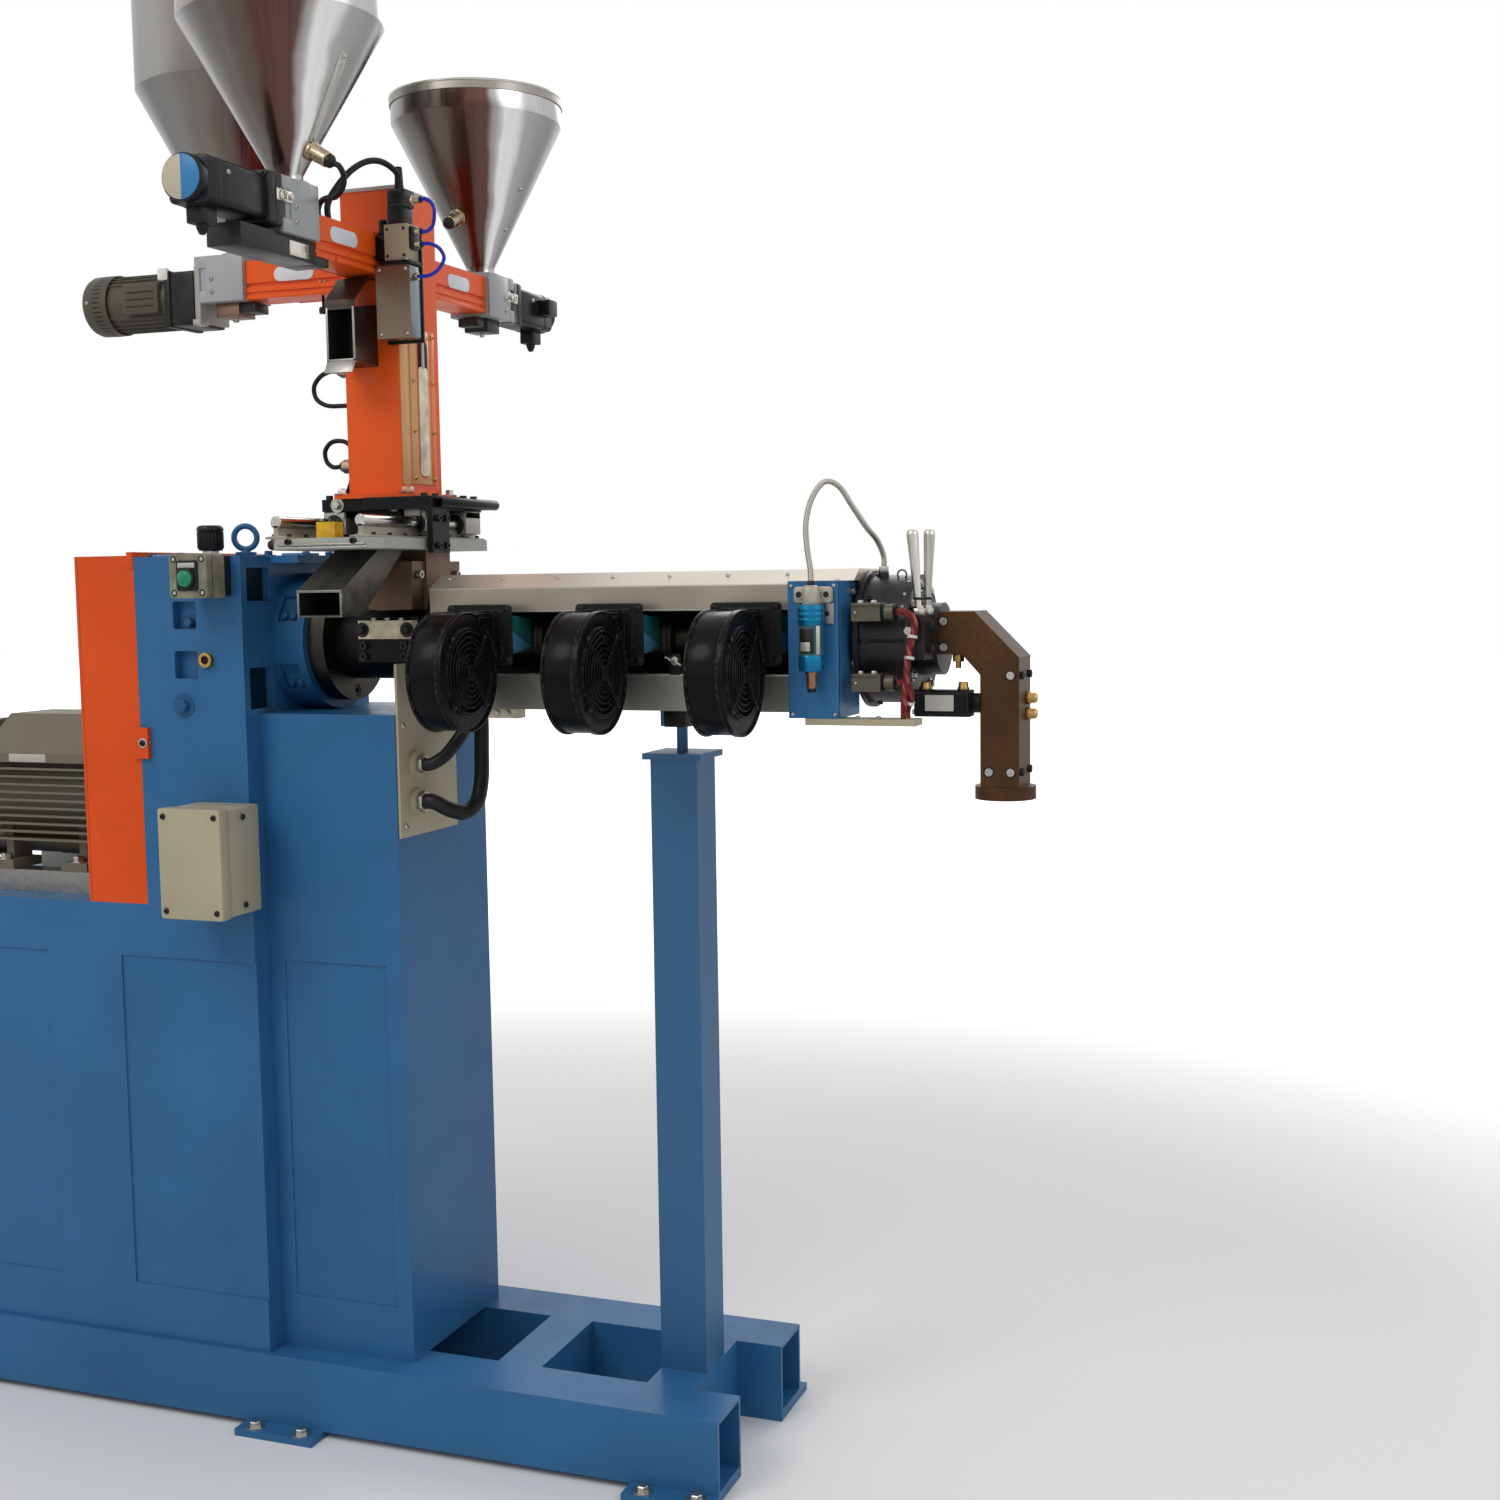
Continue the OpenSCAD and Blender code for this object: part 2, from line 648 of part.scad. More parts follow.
// Heater terminals on the head
ht_x = head_x + lip_t + face_gap;
ht_y = -drum_d / 2 - 4;
ht_z = [axis_h + 30, axis_h - 74];
ht_len = 44;
socket_len = 20;
module heater_terminals() color([0.36, 0.33, 0.28])
    for (z = ht_z) {
        difference() {
            span([ht_x, ht_y - 34, z], [ht_x + ht_len, -58, z + 26]);
            bar_x([head_x - 1, 0, axis_h], drum_d + 2 * face_gap, lip_t + drum_t);
        }
        bar_x([ht_x + ht_len, ht_y - 18, z + 13], 24, socket_len);
    }

// Pressure port on the drum, where the armoured capillary ends
tap = [head_x + 26, -20, axis_h + drum_d / 2 + 4];
module head_leads() {
    color([0.6, 0.6, 0.58])
        lead([[tx_x, tx_y, axis_h + 84 + face_gap], [tx_x, tx_y, axis_h + 106],
            [tx_x - 6, tx_y + 3, axis_h + 140], [tx_x - 8, tx_y + 6, axis_h + 175],
            [tx_x, tx_y + 10, axis_h + 210], [tx_x + 16, tx_y + 20, axis_h + 234],
            [tx_x + 34, tx_y + 34, axis_h + 228], [tx_x + 48, tx_y + 54, axis_h + 200],
            [tx_x + 60, tx_y + 90, axis_h + 168], [tap[0] - 4, tap[1] - 22, tap[2] + 48],
            [tap[0], tap[1], tap[2] + 24], [tap[0], tap[1], tap[2] + face_gap]], 9, [0.3, 1, 0], 8, 2);
    // Braided heater leads down to the cable rail
    color([0.62, 0.16, 0.16]) {
        x = ht_x + ht_len + socket_len;
        y = ht_y - 18;
        up = ht_z[0] + 13;
        down = ht_z[1] + 13;
        end = low_z - 5;
        lead([[x + face_gap, y, up], [x + 14, y, up], [x + 26, y, up - 10], [x + 28, y - 2, up - 28],
            [x + 21, y - 7, up - 58], [x + 18, y - 12, up - 100], [x + 14, y - 10, end + 20],
            [x + 14, y - 10, end]], 10, [0, 1, 0], 8, 2);
        lead([[x + face_gap, y, down], [x + 12, y, down], [x + 21, y, down - 9], [x + 22, y + 1, down - 24],
            [x + 16, y + 2, end + 12], [x + 16, y + 2, end]], 10, [0, 1, 0], 8, 2);
    }
}

module cable_rail() color(cream)
    span([cover_end - 60, term_y0, low_z - 15], [head_x + 108, term_y0 + 44, low_z - 5 - face_gap]);

// Head, melt adapter and outlet
ear_y = [50, 108];
module head_flange() color([0.2, 0.2, 0.2]) {
    bar_x([head_x, 0, axis_h], lip_d, lip_t);
    bar_x([head_x + lip_t, 0, axis_h], drum_d, drum_t);
    bar_x([hub_x, 0, axis_h], hub_d, hub_t);
    // Clamp ears beside the hub
    for (s = [-1, 1])
        span([hub_x, s > 0 ? ear_y[0] : -ear_y[1], axis_h - 28],
            [hub_x + 30, s > 0 ? ear_y[1] : -ear_y[0], ear_top]);
    bar_z([tap[0], tap[1], axis_h + drum_d / 2 - 12], 16, 16);
}

// Tapered handles of the head clamp, standing on its front ear
ear_top = axis_h + 38;
handle_len = 128;
handle_d = [9, 18];
handle_lean = [-4.5, 2];
module clamp_handles() color(steel)
    for (k = [0, 1])
        translate([hub_x + (k == 0 ? 15 : 22), k == 0 ? -83 : -60, ear_top]) {
            cylinder(d = 14, h = 14);
            translate([0, 0, 6]) rotate([0, handle_lean[k], 0]) rotate_extrude($fn = 32)
                polygon(concat([[0, 0], [handle_d[0] / 2, 0]],
                    [for (a = [0 : 15 : 90])
                        [handle_d[1] / 2 * cos(a), handle_len - 6 + handle_d[1] / 2 * (sin(a) - 1)]]));
        }

adapter_half = 42;
leg_x0 = adapter_x + 64;
leg_x1 = adapter_x + 123;
leg_z = axis_h - 222;
module melt_adapter() color([0.36, 0.24, 0.16])
    along_y(-adapter_half, 2 * adapter_half)
        polygon([[adapter_x, axis_h + 42], [adapter_x + 55, axis_h + 42], [leg_x1, axis_h - 27],
            [leg_x1, leg_z], [leg_x0, leg_z], [leg_x0, axis_h - 53], [adapter_x + 36, axis_h - 22],
            [adapter_x, axis_h - 22]]);

outlet_d = 92;
outlet_t = 20;
outlet_bore = 20;
outlet_pcd = 70;
out_x = (leg_x0 + leg_x1) / 2;
module outlet_flange() color(dark_steel)
    difference() {
        bar_z([out_x, 0, leg_z - outlet_t], outlet_d, outlet_t);
        bar_z([out_x, 0, leg_z - outlet_t - 1], outlet_bore, outlet_t + 2);
        for (a = [45 : 90 : 315])
            translate([out_x, 0, leg_z - outlet_t - 1]) rotate(a) translate([outlet_pcd / 2, 0, 0])
                cylinder(d = 9, h = outlet_t + 2);
    }

// Air cylinder of the bypass valve, its rod seated on the adapter's leg
valve_rod = 12;
valve_half = 20;
module valve_cylinder() color(black) {
    y = -48;
    z = axis_h - 95;
    rounded_span([hub_x + 3, y - valve_half, z - valve_half],
        [leg_x0 - valve_rod, y + valve_half, z + valve_half], 6, "x");
    bar_x([leg_x0 - valve_rod, y + 10, z], 30, valve_rod);
}

// Post under the barrel
post_x = 600;
module barrel_support() {
    color(blue) span([post_x - 40, -40, skid_z], [post_x + 40, 40, axis_h - 190]);
    color(blue) span([post_x - 50, -50, axis_h - 190], [post_x + 50, 50, axis_h - 180]);
    color(steel) bar_z([post_x, 0, axis_h - 180], 18, 42);
    color(black) span([post_x - 25, -30, axis_h - 138], [post_x + 25, 30, low_z]);
}

// Stop block on the slide plate, in the way of the carriage's centre block
block_y = 60;
module slide_stop() color("goldenrod")
    span([feed_x - 36, -travel - block_y - run_gap - 25, plate_top],
        [feed_x - 2, -travel - block_y - run_gap, plate_top + 27]);

// Carriage of the dosing station
car_y0 = -75;
car_y1 = 115;
car_side = 21;
bearing_y = [car_y0 + 2, car_y1 - 57];
module slide_carriage() color(black)
    difference() {
        union() {
            span([rail_x[0] - car_side, car_y0, carriage_z], [rail_x[1] + car_side, car_y1, carriage_top]);
            span([feed_x - 42, -block_y, plate_top + run_gap], [feed_x + 42, block_y, carriage_z]);
            // Side clamp that reaches down past the plate's edge
            span([feed_x, -104, carriage_z], [plate_x1 + run_gap + 11, -50, carriage_top]);
            span([plate_x1 + run_gap, -104, plate_z - 6], [plate_x1 + run_gap + 11, -50, carriage_top]);
        }
        translate([feed_x, 0, plate_top]) cylinder(d = throat_d, h = 100);
    }

module slide_bearings() color([0.74, 0.73, 0.70])
    for (x = rail_x, y = bearing_y)
        difference() {
            span([x - car_side, y, rail_z - 16], [x + car_side, y + 55, carriage_z]);
            bar_y([x, y - 1, rail_z], rail_d + 0.16, 57);
            span([x - 9, y - 1, rail_z - 20], [x + 9, y + 56, rail_z]);
        }

// Dosing column with its foot and head plates
col_x0 = feed_x - col_w / 2;
col_x1 = feed_x + col_w / 2;
col_y = col_d / 2;
module dosing_column() {
    color(orange) difference() {
        union() {
            span([col_x0 - 20, -col_y - 16, carriage_top], [col_x1 + 20, col_y + 16, col_z]);
            span([col_x0, -col_y, col_z], [col_x1, col_y, col_top]);
        }
        translate([feed_x, 0, carriage_top - 1]) cylinder(d = throat_d, h = 60);
        // Sight slot in the right face
        span([col_x1 - 12, -12, col_z + 30], [col_x1 + 1, 18, col_z + 255]);
    }
    color(grey) span([col_x0 - 2, -col_y - 2, col_top], [col_x1 + 2, col_y + 2, col_top + 6]);
}

module sight_strip() color([0.85, 0.84, 0.78])
    span([col_x1, -34, col_z + 16], [col_x1 + 3, 46, col_z + 270]);

sensor_z = [col_z + 51, col_z + 211];
sensor_x = col_x0 - 58;
probe_d = 24;
probe_len = 46;
module level_sensors() color("darkgoldenrod") {
    for (z = sensor_z) {
        bar_x([col_x0 - 36, 0, z], 24, 36);
        bar_x([sensor_x, 0, z], 16, 22);
    }
    // Probes through the cones of the front and rear hoppers
    cone_place(0, 180, 34) cylinder(d = probe_d, h = probe_len);
    cone_place(2, 265, 82) cylinder(d = probe_d, h = probe_len);
}

// A place on a hopper's cone, square to its sheet: turned round the hopper, raised over the cone's foot
module cone_place(k, turn, rise) {
    wide = hopper_dia[k] / 2 - stub_d / 2;
    unit_place(k) translate([0, hopper_y[k], block_top_z[k] + stub_h]) rotate(turn)
        translate([stub_d / 2 + wide * rise / hopper_cone[k], 0, rise])
            rotate([0, 90 + atan(wide / hopper_cone[k]), 0]) translate([0, 0, face_gap]) children();
}

module column_leads() color(black) {
    a = sensor_z[1];
    b = sensor_z[0];
    x = sensor_x;
    lead([[x - face_gap, 0, a], [x - 16, 0, a], [x - 34, 0, a - 8], [x - 46, 0, a - 24], [x - 42, 0, a - 44],
        [x - 22, 0, a - 56], [x + 8, 0, a - 58], [col_x0 - 20, 0, a - 57], [col_x0 - face_gap, 0, a - 57]],
        8, [0, 1, 0], 8, 2);
    lead([[x - face_gap, 0, b], [x - 14, 0, b], [x - 26, 0, b + 10], [x - 28, 0, b + 28], [x - 14, 0, b + 42],
        [x + 10, 0, b + 42], [x + 28, 0, b + 30], [col_x0 - 16, 0, b + 24], [col_x0 - face_gap, 0, b + 24]],
        8, [0, 1, 0], 8, 2);
    // From the arm over to the valve's coil
    top = arm_z[0] + arm_s / 2;
    root = [feed_x + 22, -216];
    lead([[root[0], root[1], top + face_gap], [root[0], root[1], top + 24],
        [root[0] + 8, root[1] + 14, top + 51], [root[0] + 20, root[1] + 36, top + 79],
        [root[0] + 32, root[1] + 64, top + 98],
        [root[0] + 42, root[1] + 94, top + 103], [coil_x, coil_y - 9, top + 92], [coil_x, coil_y, top + 78],
        [coil_x, coil_y, coil_top + face_gap]], 10, [0.5, 0.5, 0.7], 8, 2);
    // From the front hopper's probe down to the arm
    tip = [feed_x + 85, -hopper_y[0], top + 63.7];
    foot = [feed_x + 22, tip[1] + 50];
    lead([tip, tip + [8, 0, -4.6], tip + [13, 3, -17.7], tip + [5, 12, -32.7], tip + [-17, 27, -41.7],
        tip + [-39, 39, -39.7], [foot[0] + 7, foot[1] - 2, top + 22], [foot[0], foot[1], top + 12],
        [foot[0], foot[1], top + face_gap]], 9, [0.2, 1, 0.1], 8, 2);
}

// Sheet cover and air valve at the column's front, on a black plate
vp_x0 = feed_x + arm_s / 2 + 2;
vp_x1 = feed_x + col_w;
vp_t = 5;
vp_z0 = col_top - 248;
vp_h = 180;
box_d = 35;
box_h = 116;
module valve_cover() {
    color(black) span([vp_x0, -col_y - vp_t, vp_z0], [vp_x1, -col_y, vp_z0 + vp_h]);
    color(steel) rounded_span([vp_x0 + 2, -col_y - vp_t - box_d, vp_z0 + 4],
        [vp_x1 - 2, -col_y - vp_t, vp_z0 + 4 + box_h], 3, "y");
}

valve_z = vp_z0 + 126;
valve_w = 42;
valve_d = 36;
valve_h = 58;
coil_s = 32;
coil_h = 54;
coil_top = valve_z + valve_h + coil_h;
coil_x = vp_x1 - 26;
coil_y = -col_y - vp_t - 18;
module air_valve() {
    y1 = -col_y - vp_t;
    color(cream) span([vp_x1 - 4 - valve_w, y1 - valve_d, valve_z], [vp_x1 - 4, y1, valve_z + valve_h]);
    color(black) rounded_span([coil_x - coil_s / 2, coil_y - coil_s / 2, valve_z + valve_h],
        [coil_x + coil_s / 2, coil_y + coil_s / 2, coil_top], 4, "z");
    // Push-in fittings for the air tubes
    bar_x([coil_x + coil_s / 2, coil_y, tube_z[0]], fitting_d, fitting_end - coil_x - coil_s / 2);
    for (k = [1, 2]) bar_x([vp_x1 - 4, coil_y, tube_z[k]], fitting_d, fitting_end - vp_x1 + 4);
}

// Air tubes from the coil's fitting to the valve block, and from the block down to the steel box
tube_d = 6;
fitting_d = 11;
fitting_end = vp_x1 + 12;
tube_z = [coil_top - 16, valve_z + 46, valve_z + 26, vp_z0 + 102];
module air_tubes() color([0.15, 0.2, 0.75]) {
    x = fitting_end;
    y = coil_y;
    lead([[x + face_gap, y, tube_z[0]], [x + 10, y, tube_z[0]], [x + 20, y, tube_z[0] - 7],
        [x + 25, y, tube_z[0] - 20], [x + 22, y, tube_z[1] + 9], [x + 12, y, tube_z[1]],
        [x + face_gap, y, tube_z[1]]], tube_d, [0, 1, 0], 8, 2);
    lead([[x + face_gap, y, tube_z[2]], [x + 14, y, tube_z[2]], [x + 31, y, tube_z[2] - 8],
        [x + 40, y, tube_z[2] - 24], [x + 30, y, tube_z[3] + 9], [x + 12, y, tube_z[3]],
        [vp_x1 + 4, y, tube_z[3]], [vp_x1 - 2 + face_gap, y, tube_z[3]]], tube_d, [0, 1, 0], 8, 2);
}

// Open spout for drawing samples
spout_w = 52;
spout_z = col_z + 206;
spout_h = 100;
spout_reach = 70;
spout_lip = 84;
module sampling_spout() color(grey) {
    x0 = feed_x - 40;
    wall = 3;
    mouth = -col_y - spout_reach;
    low = spout_z + 4;
    difference() {
        along_x(x0, spout_w)
            polygon([[-col_y, spout_z + spout_h], [mouth, low + spout_lip], [mouth, low], [-col_y, spout_z]]);
        along_x(x0 + wall, spout_w - 2 * wall)
            polygon([[-col_y - 6, spout_z + spout_h - 4], [mouth - 1, low + spout_lip - wall],
                [mouth - 1, low + wall], [-col_y - 6, low]]);
    }
}

// Places a dosing unit: its own +Y points away from the column
unit_dir = [180, 90, 0];
unit_start = [col_y, col_w / 2, col_y];
arm_end = [col_y + 202, col_w / 2 + 212, col_y + 212];
module unit_place(k) translate([feed_x, 0, 0]) rotate(unit_dir[k]) children();

module arm_outline() difference() {
    square([arm_s, arm_s], center = true);
    for (s = [-1, 1]) {
        translate([s * arm_s / 2, -arm_s * 0.14]) square([8, 7], center = true);
        translate([s * arm_s / 2, -arm_s * 0.36]) square([5, 5], center = true);
    }
}
module dosing_arms() color(orange)
    for (k = [0 : 2]) unit_place(k)
        translate([0, arm_end[k], arm_z[k]]) rotate([90, 0, 0]) linear_extrude(arm_end[k] - unit_start[k])
            arm_outline();

block_len = 88;
block_h = [82, 78, 78];
block_half = [36, 38, 38];
slab_t = 34;
slab_half = 30;
module dosing_blocks() color(grey)
    for (k = [0 : 2]) unit_place(k) {
        low = block_top_z[k] - block_h[k];
        span([-block_half[k], arm_end[k], low], [block_half[k], arm_end[k] + block_len, block_top_z[k]]);
        if (k == 0) {
            // Slab under the front unit, which reaches back below the arm
            span([-slab_half, arm_end[k], low - slab_t], [slab_half, arm_end[k] + 190, low]);
            span([-slab_half, arm_end[k] - 36, low - slab_t],
                [slab_half, arm_end[k], arm_z[k] - arm_s / 2 - face_gap]);
        }
        else
            span([-24, arm_end[k] + 20, low - 24], [24, arm_end[k] + 66, low]);
    }

// Servo motors of the front and rear units, and the geared motor of the left unit
servo_half = 38;
servo_face = 42;
servo_body = 33;
servo_len = 138;
servo_cap = 16;
servo_drop = 41;
plug_w = 36;
plug_h = 30;
plug_reach = 25;
plug_back = 26;
plug_under = 10;
gear_head = 66;
geared_d = 92;
geared_len = 130;
cowl_d = 104;
cowl_len = 46;
geared_drop = 66;
module dosing_motors() {
    color(black) for (k = [0, 2]) unit_place(k) {
        y = arm_end[k] + block_len;
        z = block_top_z[k] - servo_drop + (k == 0 ? 4 : 0);
        span([-servo_half, y, z - servo_half], [servo_half, y + servo_face, z + servo_half]);
        rounded_span([-servo_body, y + servo_face, z - servo_body],
            [servo_body, y + servo_face + servo_len, z + servo_body], 6, "y");
        bar_y([0, y + servo_face + servo_len, z], 2 * servo_body + 2, servo_cap);
        // Plug housings on the side and under the end
        rear = y + servo_face + servo_len;
        span([servo_body, rear - plug_back - plug_w, z - plug_h / 3],
            [servo_body + plug_reach, rear - plug_back, z + 2 * plug_h / 3]);
        span([-plug_h / 2, rear - plug_under - plug_w, z - servo_body - plug_reach],
            [plug_h / 2, rear - plug_under, z - servo_body]);
    }
    color([0.4, 0.39, 0.37]) unit_place(1) {
        y = arm_end[1] + block_len;
        z = block_top_z[1] - geared_drop;
        span([-geared_d / 2 + 2, y, z - geared_d / 2 - 2],
            [geared_d / 2 - 2, y + gear_head, z + geared_d / 2 - 2]);
        bar_y([0, y + gear_head, z], geared_d, geared_len);
        bar_y([0, y + gear_head + geared_len, z], cowl_d, cowl_len);
    }
}

// Hoppers over the dosing blocks
hopper_dia = [hopper_d, hopper_left_d, hopper_d];
hopper_inset = [26, 28, 43];
hopper_y = [for (k = [0 : 2]) arm_end[k] + hopper_inset[k]];
hopper_cone = [222, 256, 252];
hopper_cyl = [120, 230, 45];
stub_d = 50;
stub_h = 14;
module hopper(k) color([0.70, 0.69, 0.67]) unit_place(k) translate([0, hopper_y[k], block_top_z[k]]) {
    d = hopper_dia[k];
    rim = stub_h + hopper_cone[k] + hopper_cyl[k];
    rotate_extrude()
        polygon([[stub_d / 2 - hopper_wall, 0], [stub_d / 2, 0], [stub_d / 2, stub_h],
            [d / 2, stub_h + hopper_cone[k]], [d / 2, rim], [d / 2 - hopper_wall, rim],
            [d / 2 - hopper_wall, stub_h + hopper_cone[k] + 0.5], [stub_d / 2 - hopper_wall, stub_h + 0.5]]);
}
module hopper_front() hopper(0);
module hopper_left() hopper(1);
module hopper_rear() hopper(2);

// Domed lids with a rolled skirt over the hopper's rim
lid_skirt = 14;
lid_rise = 12;
knob_d = 44;
knob_h = 16;
module hopper_lids()
    for (k = [0 : 2]) unit_place(k)
        translate([0, hopper_y[k], block_top_z[k] + stub_h + hopper_cone[k] + hopper_cyl[k]]) {
            r = hopper_dia[k] / 2 + face_gap;
            color(steel) rotate_extrude()
                polygon(concat([[0, 0], [r, 0], [r, -lid_skirt], [r + hopper_wall, -lid_skirt]],
                    [for (i = [5 : -1 : 0]) [(r + hopper_wall) * i / 5, 3 + lid_rise * (1 - i * i / 25)]]));
            color(black) translate([0, 0, 3 + lid_rise - 1]) cylinder(d = knob_d, h = knob_h);
        }

skid_rails();
skid_crossmembers();
drive_stand();
pedestal();
side_panel();
panel_hoses();
motor_rails();
drive_motor();
lifting_eyes();
belt_guard();
gearbox_housing();
gearbox_fittings();
breather_cap();
push_button_box();
start_button();
junction_box();
thrust_housing();
neck_flange();
feed_housing();
ceramic_terminals();
feed_throat();
slide_plate();
purge_chute();
slide_rails();
barrel();
heater_bands();
upper_cover();
lower_cover();
blower_ducts();
blowers();
blower_grilles();
terminal_box();
pressure_transmitter();
head_leads();
head_flange();
clamp_handles();
heater_terminals();
cable_rail();
melt_adapter();
outlet_flange();
valve_cylinder();
barrel_support();
slide_stop();
slide_carriage();
slide_bearings();
dosing_column();
sight_strip();
level_sensors();
column_leads();
valve_cover();
air_valve();
air_tubes();
sampling_spout();
dosing_arms();
dosing_blocks();
dosing_motors();
hopper_front();
hopper_left();
hopper_rear();
hopper_lids();
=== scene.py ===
import math

import bmesh
import bpy
from mathutils import Matrix, Vector


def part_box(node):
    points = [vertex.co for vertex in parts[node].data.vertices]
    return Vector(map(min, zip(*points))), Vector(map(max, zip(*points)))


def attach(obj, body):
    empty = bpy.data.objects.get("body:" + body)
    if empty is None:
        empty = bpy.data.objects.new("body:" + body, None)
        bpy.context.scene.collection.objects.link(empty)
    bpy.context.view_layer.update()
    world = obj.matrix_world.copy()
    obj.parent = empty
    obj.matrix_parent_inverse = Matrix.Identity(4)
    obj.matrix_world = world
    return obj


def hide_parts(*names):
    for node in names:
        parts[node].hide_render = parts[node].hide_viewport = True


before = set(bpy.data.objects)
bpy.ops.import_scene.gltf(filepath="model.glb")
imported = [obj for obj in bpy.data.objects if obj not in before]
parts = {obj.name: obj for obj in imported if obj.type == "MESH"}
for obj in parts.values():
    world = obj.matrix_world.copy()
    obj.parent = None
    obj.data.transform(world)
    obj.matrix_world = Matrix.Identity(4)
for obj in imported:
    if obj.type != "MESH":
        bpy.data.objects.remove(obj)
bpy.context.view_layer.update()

# Camera and studio. The view is the photograph's: a 1850 pixel lens over a 1500 pixel frame, at eye height
# to the right of the barrel. The floor is pale and matt. The light comes from a large soft lamp at the front
# left, a weaker one at the right, one from behind and an even sky.


def spun(degrees, axis="Z"):
    """A turn about an axis through the origin."""
    return Matrix.Rotation(math.radians(degrees), 4, axis)


photo_px, lens_px = 1500, 1850
eye_at, to_left, down, roll = (1.718, -2.754, 1.420), 20, 5.19, -0.8
lens = bpy.data.cameras.new("photo_view")
lens.sensor_width = 36
lens.lens = 36 * lens_px / photo_px
camera = bpy.data.objects.new("photo_view", lens)
camera.matrix_world = Matrix.Translation(eye_at) @ spun(to_left) @ spun(90 - down, "X") @ spun(roll)
bpy.context.scene.collection.objects.link(camera)
bpy.context.scene.camera = camera
bpy.context.scene.view_settings.view_transform = "Standard"


def lamp(name, place, target, size, watts, tint):
    """A round soft lamp that points at a target."""
    light = bpy.data.lights.new(name, "AREA")
    light.shape = "DISK"
    light.size = size
    light.energy = watts
    light.color = tint
    holder = bpy.data.objects.new(name, light)
    turn = (Vector(target) - Vector(place)).to_track_quat("-Z", "Y").to_matrix().to_4x4()
    holder.matrix_world = Matrix.Translation(place) @ turn
    bpy.context.scene.collection.objects.link(holder)


lamp("key_lamp", (-1.1, -3.4, 4.3), (0.2, 0, 1.2), 2.2, 62, (1.0, 0.98, 0.95))
lamp("side_lamp", (4.2, -1.0, 3.0), (0.6, 0, 1.3), 2.0, 20, (0.94, 0.97, 1.0))
lamp("back_lamp", (0.2, 3.4, 3.6), (0.2, 0, 1.5), 2.4, 34, (1, 1, 1))


def link(tree, kind, inputs=None, **settings):
    """One shader node, with its settings and what goes into its sockets."""
    made = tree.nodes.new("ShaderNode" + kind)
    for key, value in settings.items():
        setattr(made, key, value)
    for socket, source in (inputs or {}).items():
        if isinstance(source, bpy.types.NodeSocket):
            tree.links.new(source, made.inputs[socket])
        else:
            made.inputs[socket].default_value = source
    return made


sky = bpy.data.worlds.new("studio")
bpy.context.scene.world = sky
sky.use_nodes = True
sky_tree = sky.node_tree
rays = link(sky_tree, "LightPath")
mirrored = link(
    sky_tree, "Math", {0: rays.outputs["Is Camera Ray"], 1: rays.outputs["Is Glossy Ray"]},
    operation="MAXIMUM",
)
through = rays.outputs["Is Transmission Ray"]
shown = link(sky_tree, "Math", {0: mirrored.outputs[0], 1: through}, operation="MAXIMUM")
heading = link(sky_tree, "TexCoord")
height = link(sky_tree, "SeparateXYZ", {0: heading.outputs["Generated"]})
dome = link(
    sky_tree, "MapRange",
    {"Value": height.outputs["Z"], "From Min": -0.3, "From Max": 0.9, "To Min": 0.30, "To Max": 0.74},
)
level = link(
    sky_tree, "MapRange", {"Value": shown.outputs[0], "To Min": dome.outputs["Result"], "To Max": 1.0},
)
sky_shader = sky_tree.nodes["Background"]
sky_shader.inputs["Color"].default_value = (1, 1, 1, 1)
sky_tree.links.new(level.outputs["Result"], sky_shader.inputs["Strength"])

floor_form = bmesh.new()
bmesh.ops.create_grid(floor_form, x_segments=1, y_segments=1, size=30)
floor_mesh = bpy.data.meshes.new("floor")
floor_form.to_mesh(floor_mesh)
floor_form.free()
floor = bpy.data.objects.new("floor", floor_mesh)
floor_paint = bpy.data.materials.new("pale_floor")
floor_paint.use_nodes = True
floor_tree = floor_paint.node_tree
floor_shader = floor_tree.nodes["Principled BSDF"]
floor_shader.inputs["Base Color"].default_value = (0.80, 0.80, 0.80, 1)
floor_shader.inputs["Roughness"].default_value = 0.9
floor_shader.inputs["Specular IOR Level"].default_value = 0.1
floor_shader.inputs["Emission Color"].default_value = (1, 1, 1, 1)
spot = link(floor_tree, "TexCoord")
far = link(floor_tree, "VectorMath", {0: spot.outputs["Object"]}, operation="LENGTH")
haze = link(
    floor_tree, "MapRange", {"Value": far.outputs["Value"], "From Min": 1.8, "From Max": 5.0},
    interpolation_type="SMOOTHSTEP",
)
seen_floor = link(floor_tree, "LightPath")
glow = link(
    floor_tree, "Math", {0: haze.outputs["Result"], 1: seen_floor.outputs["Is Camera Ray"]},
    operation="MULTIPLY",
)
floor_tree.links.new(glow.outputs[0], floor_shader.inputs["Emission Strength"])
floor_mesh.materials.append(floor_paint)
bpy.context.scene.collection.objects.link(floor)

# Hoses and leads, which are all held at both ends: two cooling hoses on the pedestal's panel, the armoured
# capillary of the pressure transmitter, two braided heater leads on the head, and the black leads and blue
# air tubes of the dosing station. Each follows the route of its solid.
axis_z = 1330.0
face_gap = 0.3


def spline_point(a, b, c, d, t):
    """A point between b and c on the smooth curve through four knots."""
    return 0.5 * (2 * b + (c - a) * t + (2 * a - 5 * b + 4 * c - d) * t * t + (3 * b - a - 3 * c + d) * t**3)


def route(points, steps):
    """A smooth route through given points, in millimetres."""
    p = [Vector(q) for q in points]
    made = []
    for i in range(len(p) - 1):
        before = p[max(i - 1, 0)]
        after = p[min(i + 2, len(p) - 1)]
        made += [spline_point(before, p[i], p[i + 1], after, k / steps) for k in range(steps)]
    return made + [p[-1]]


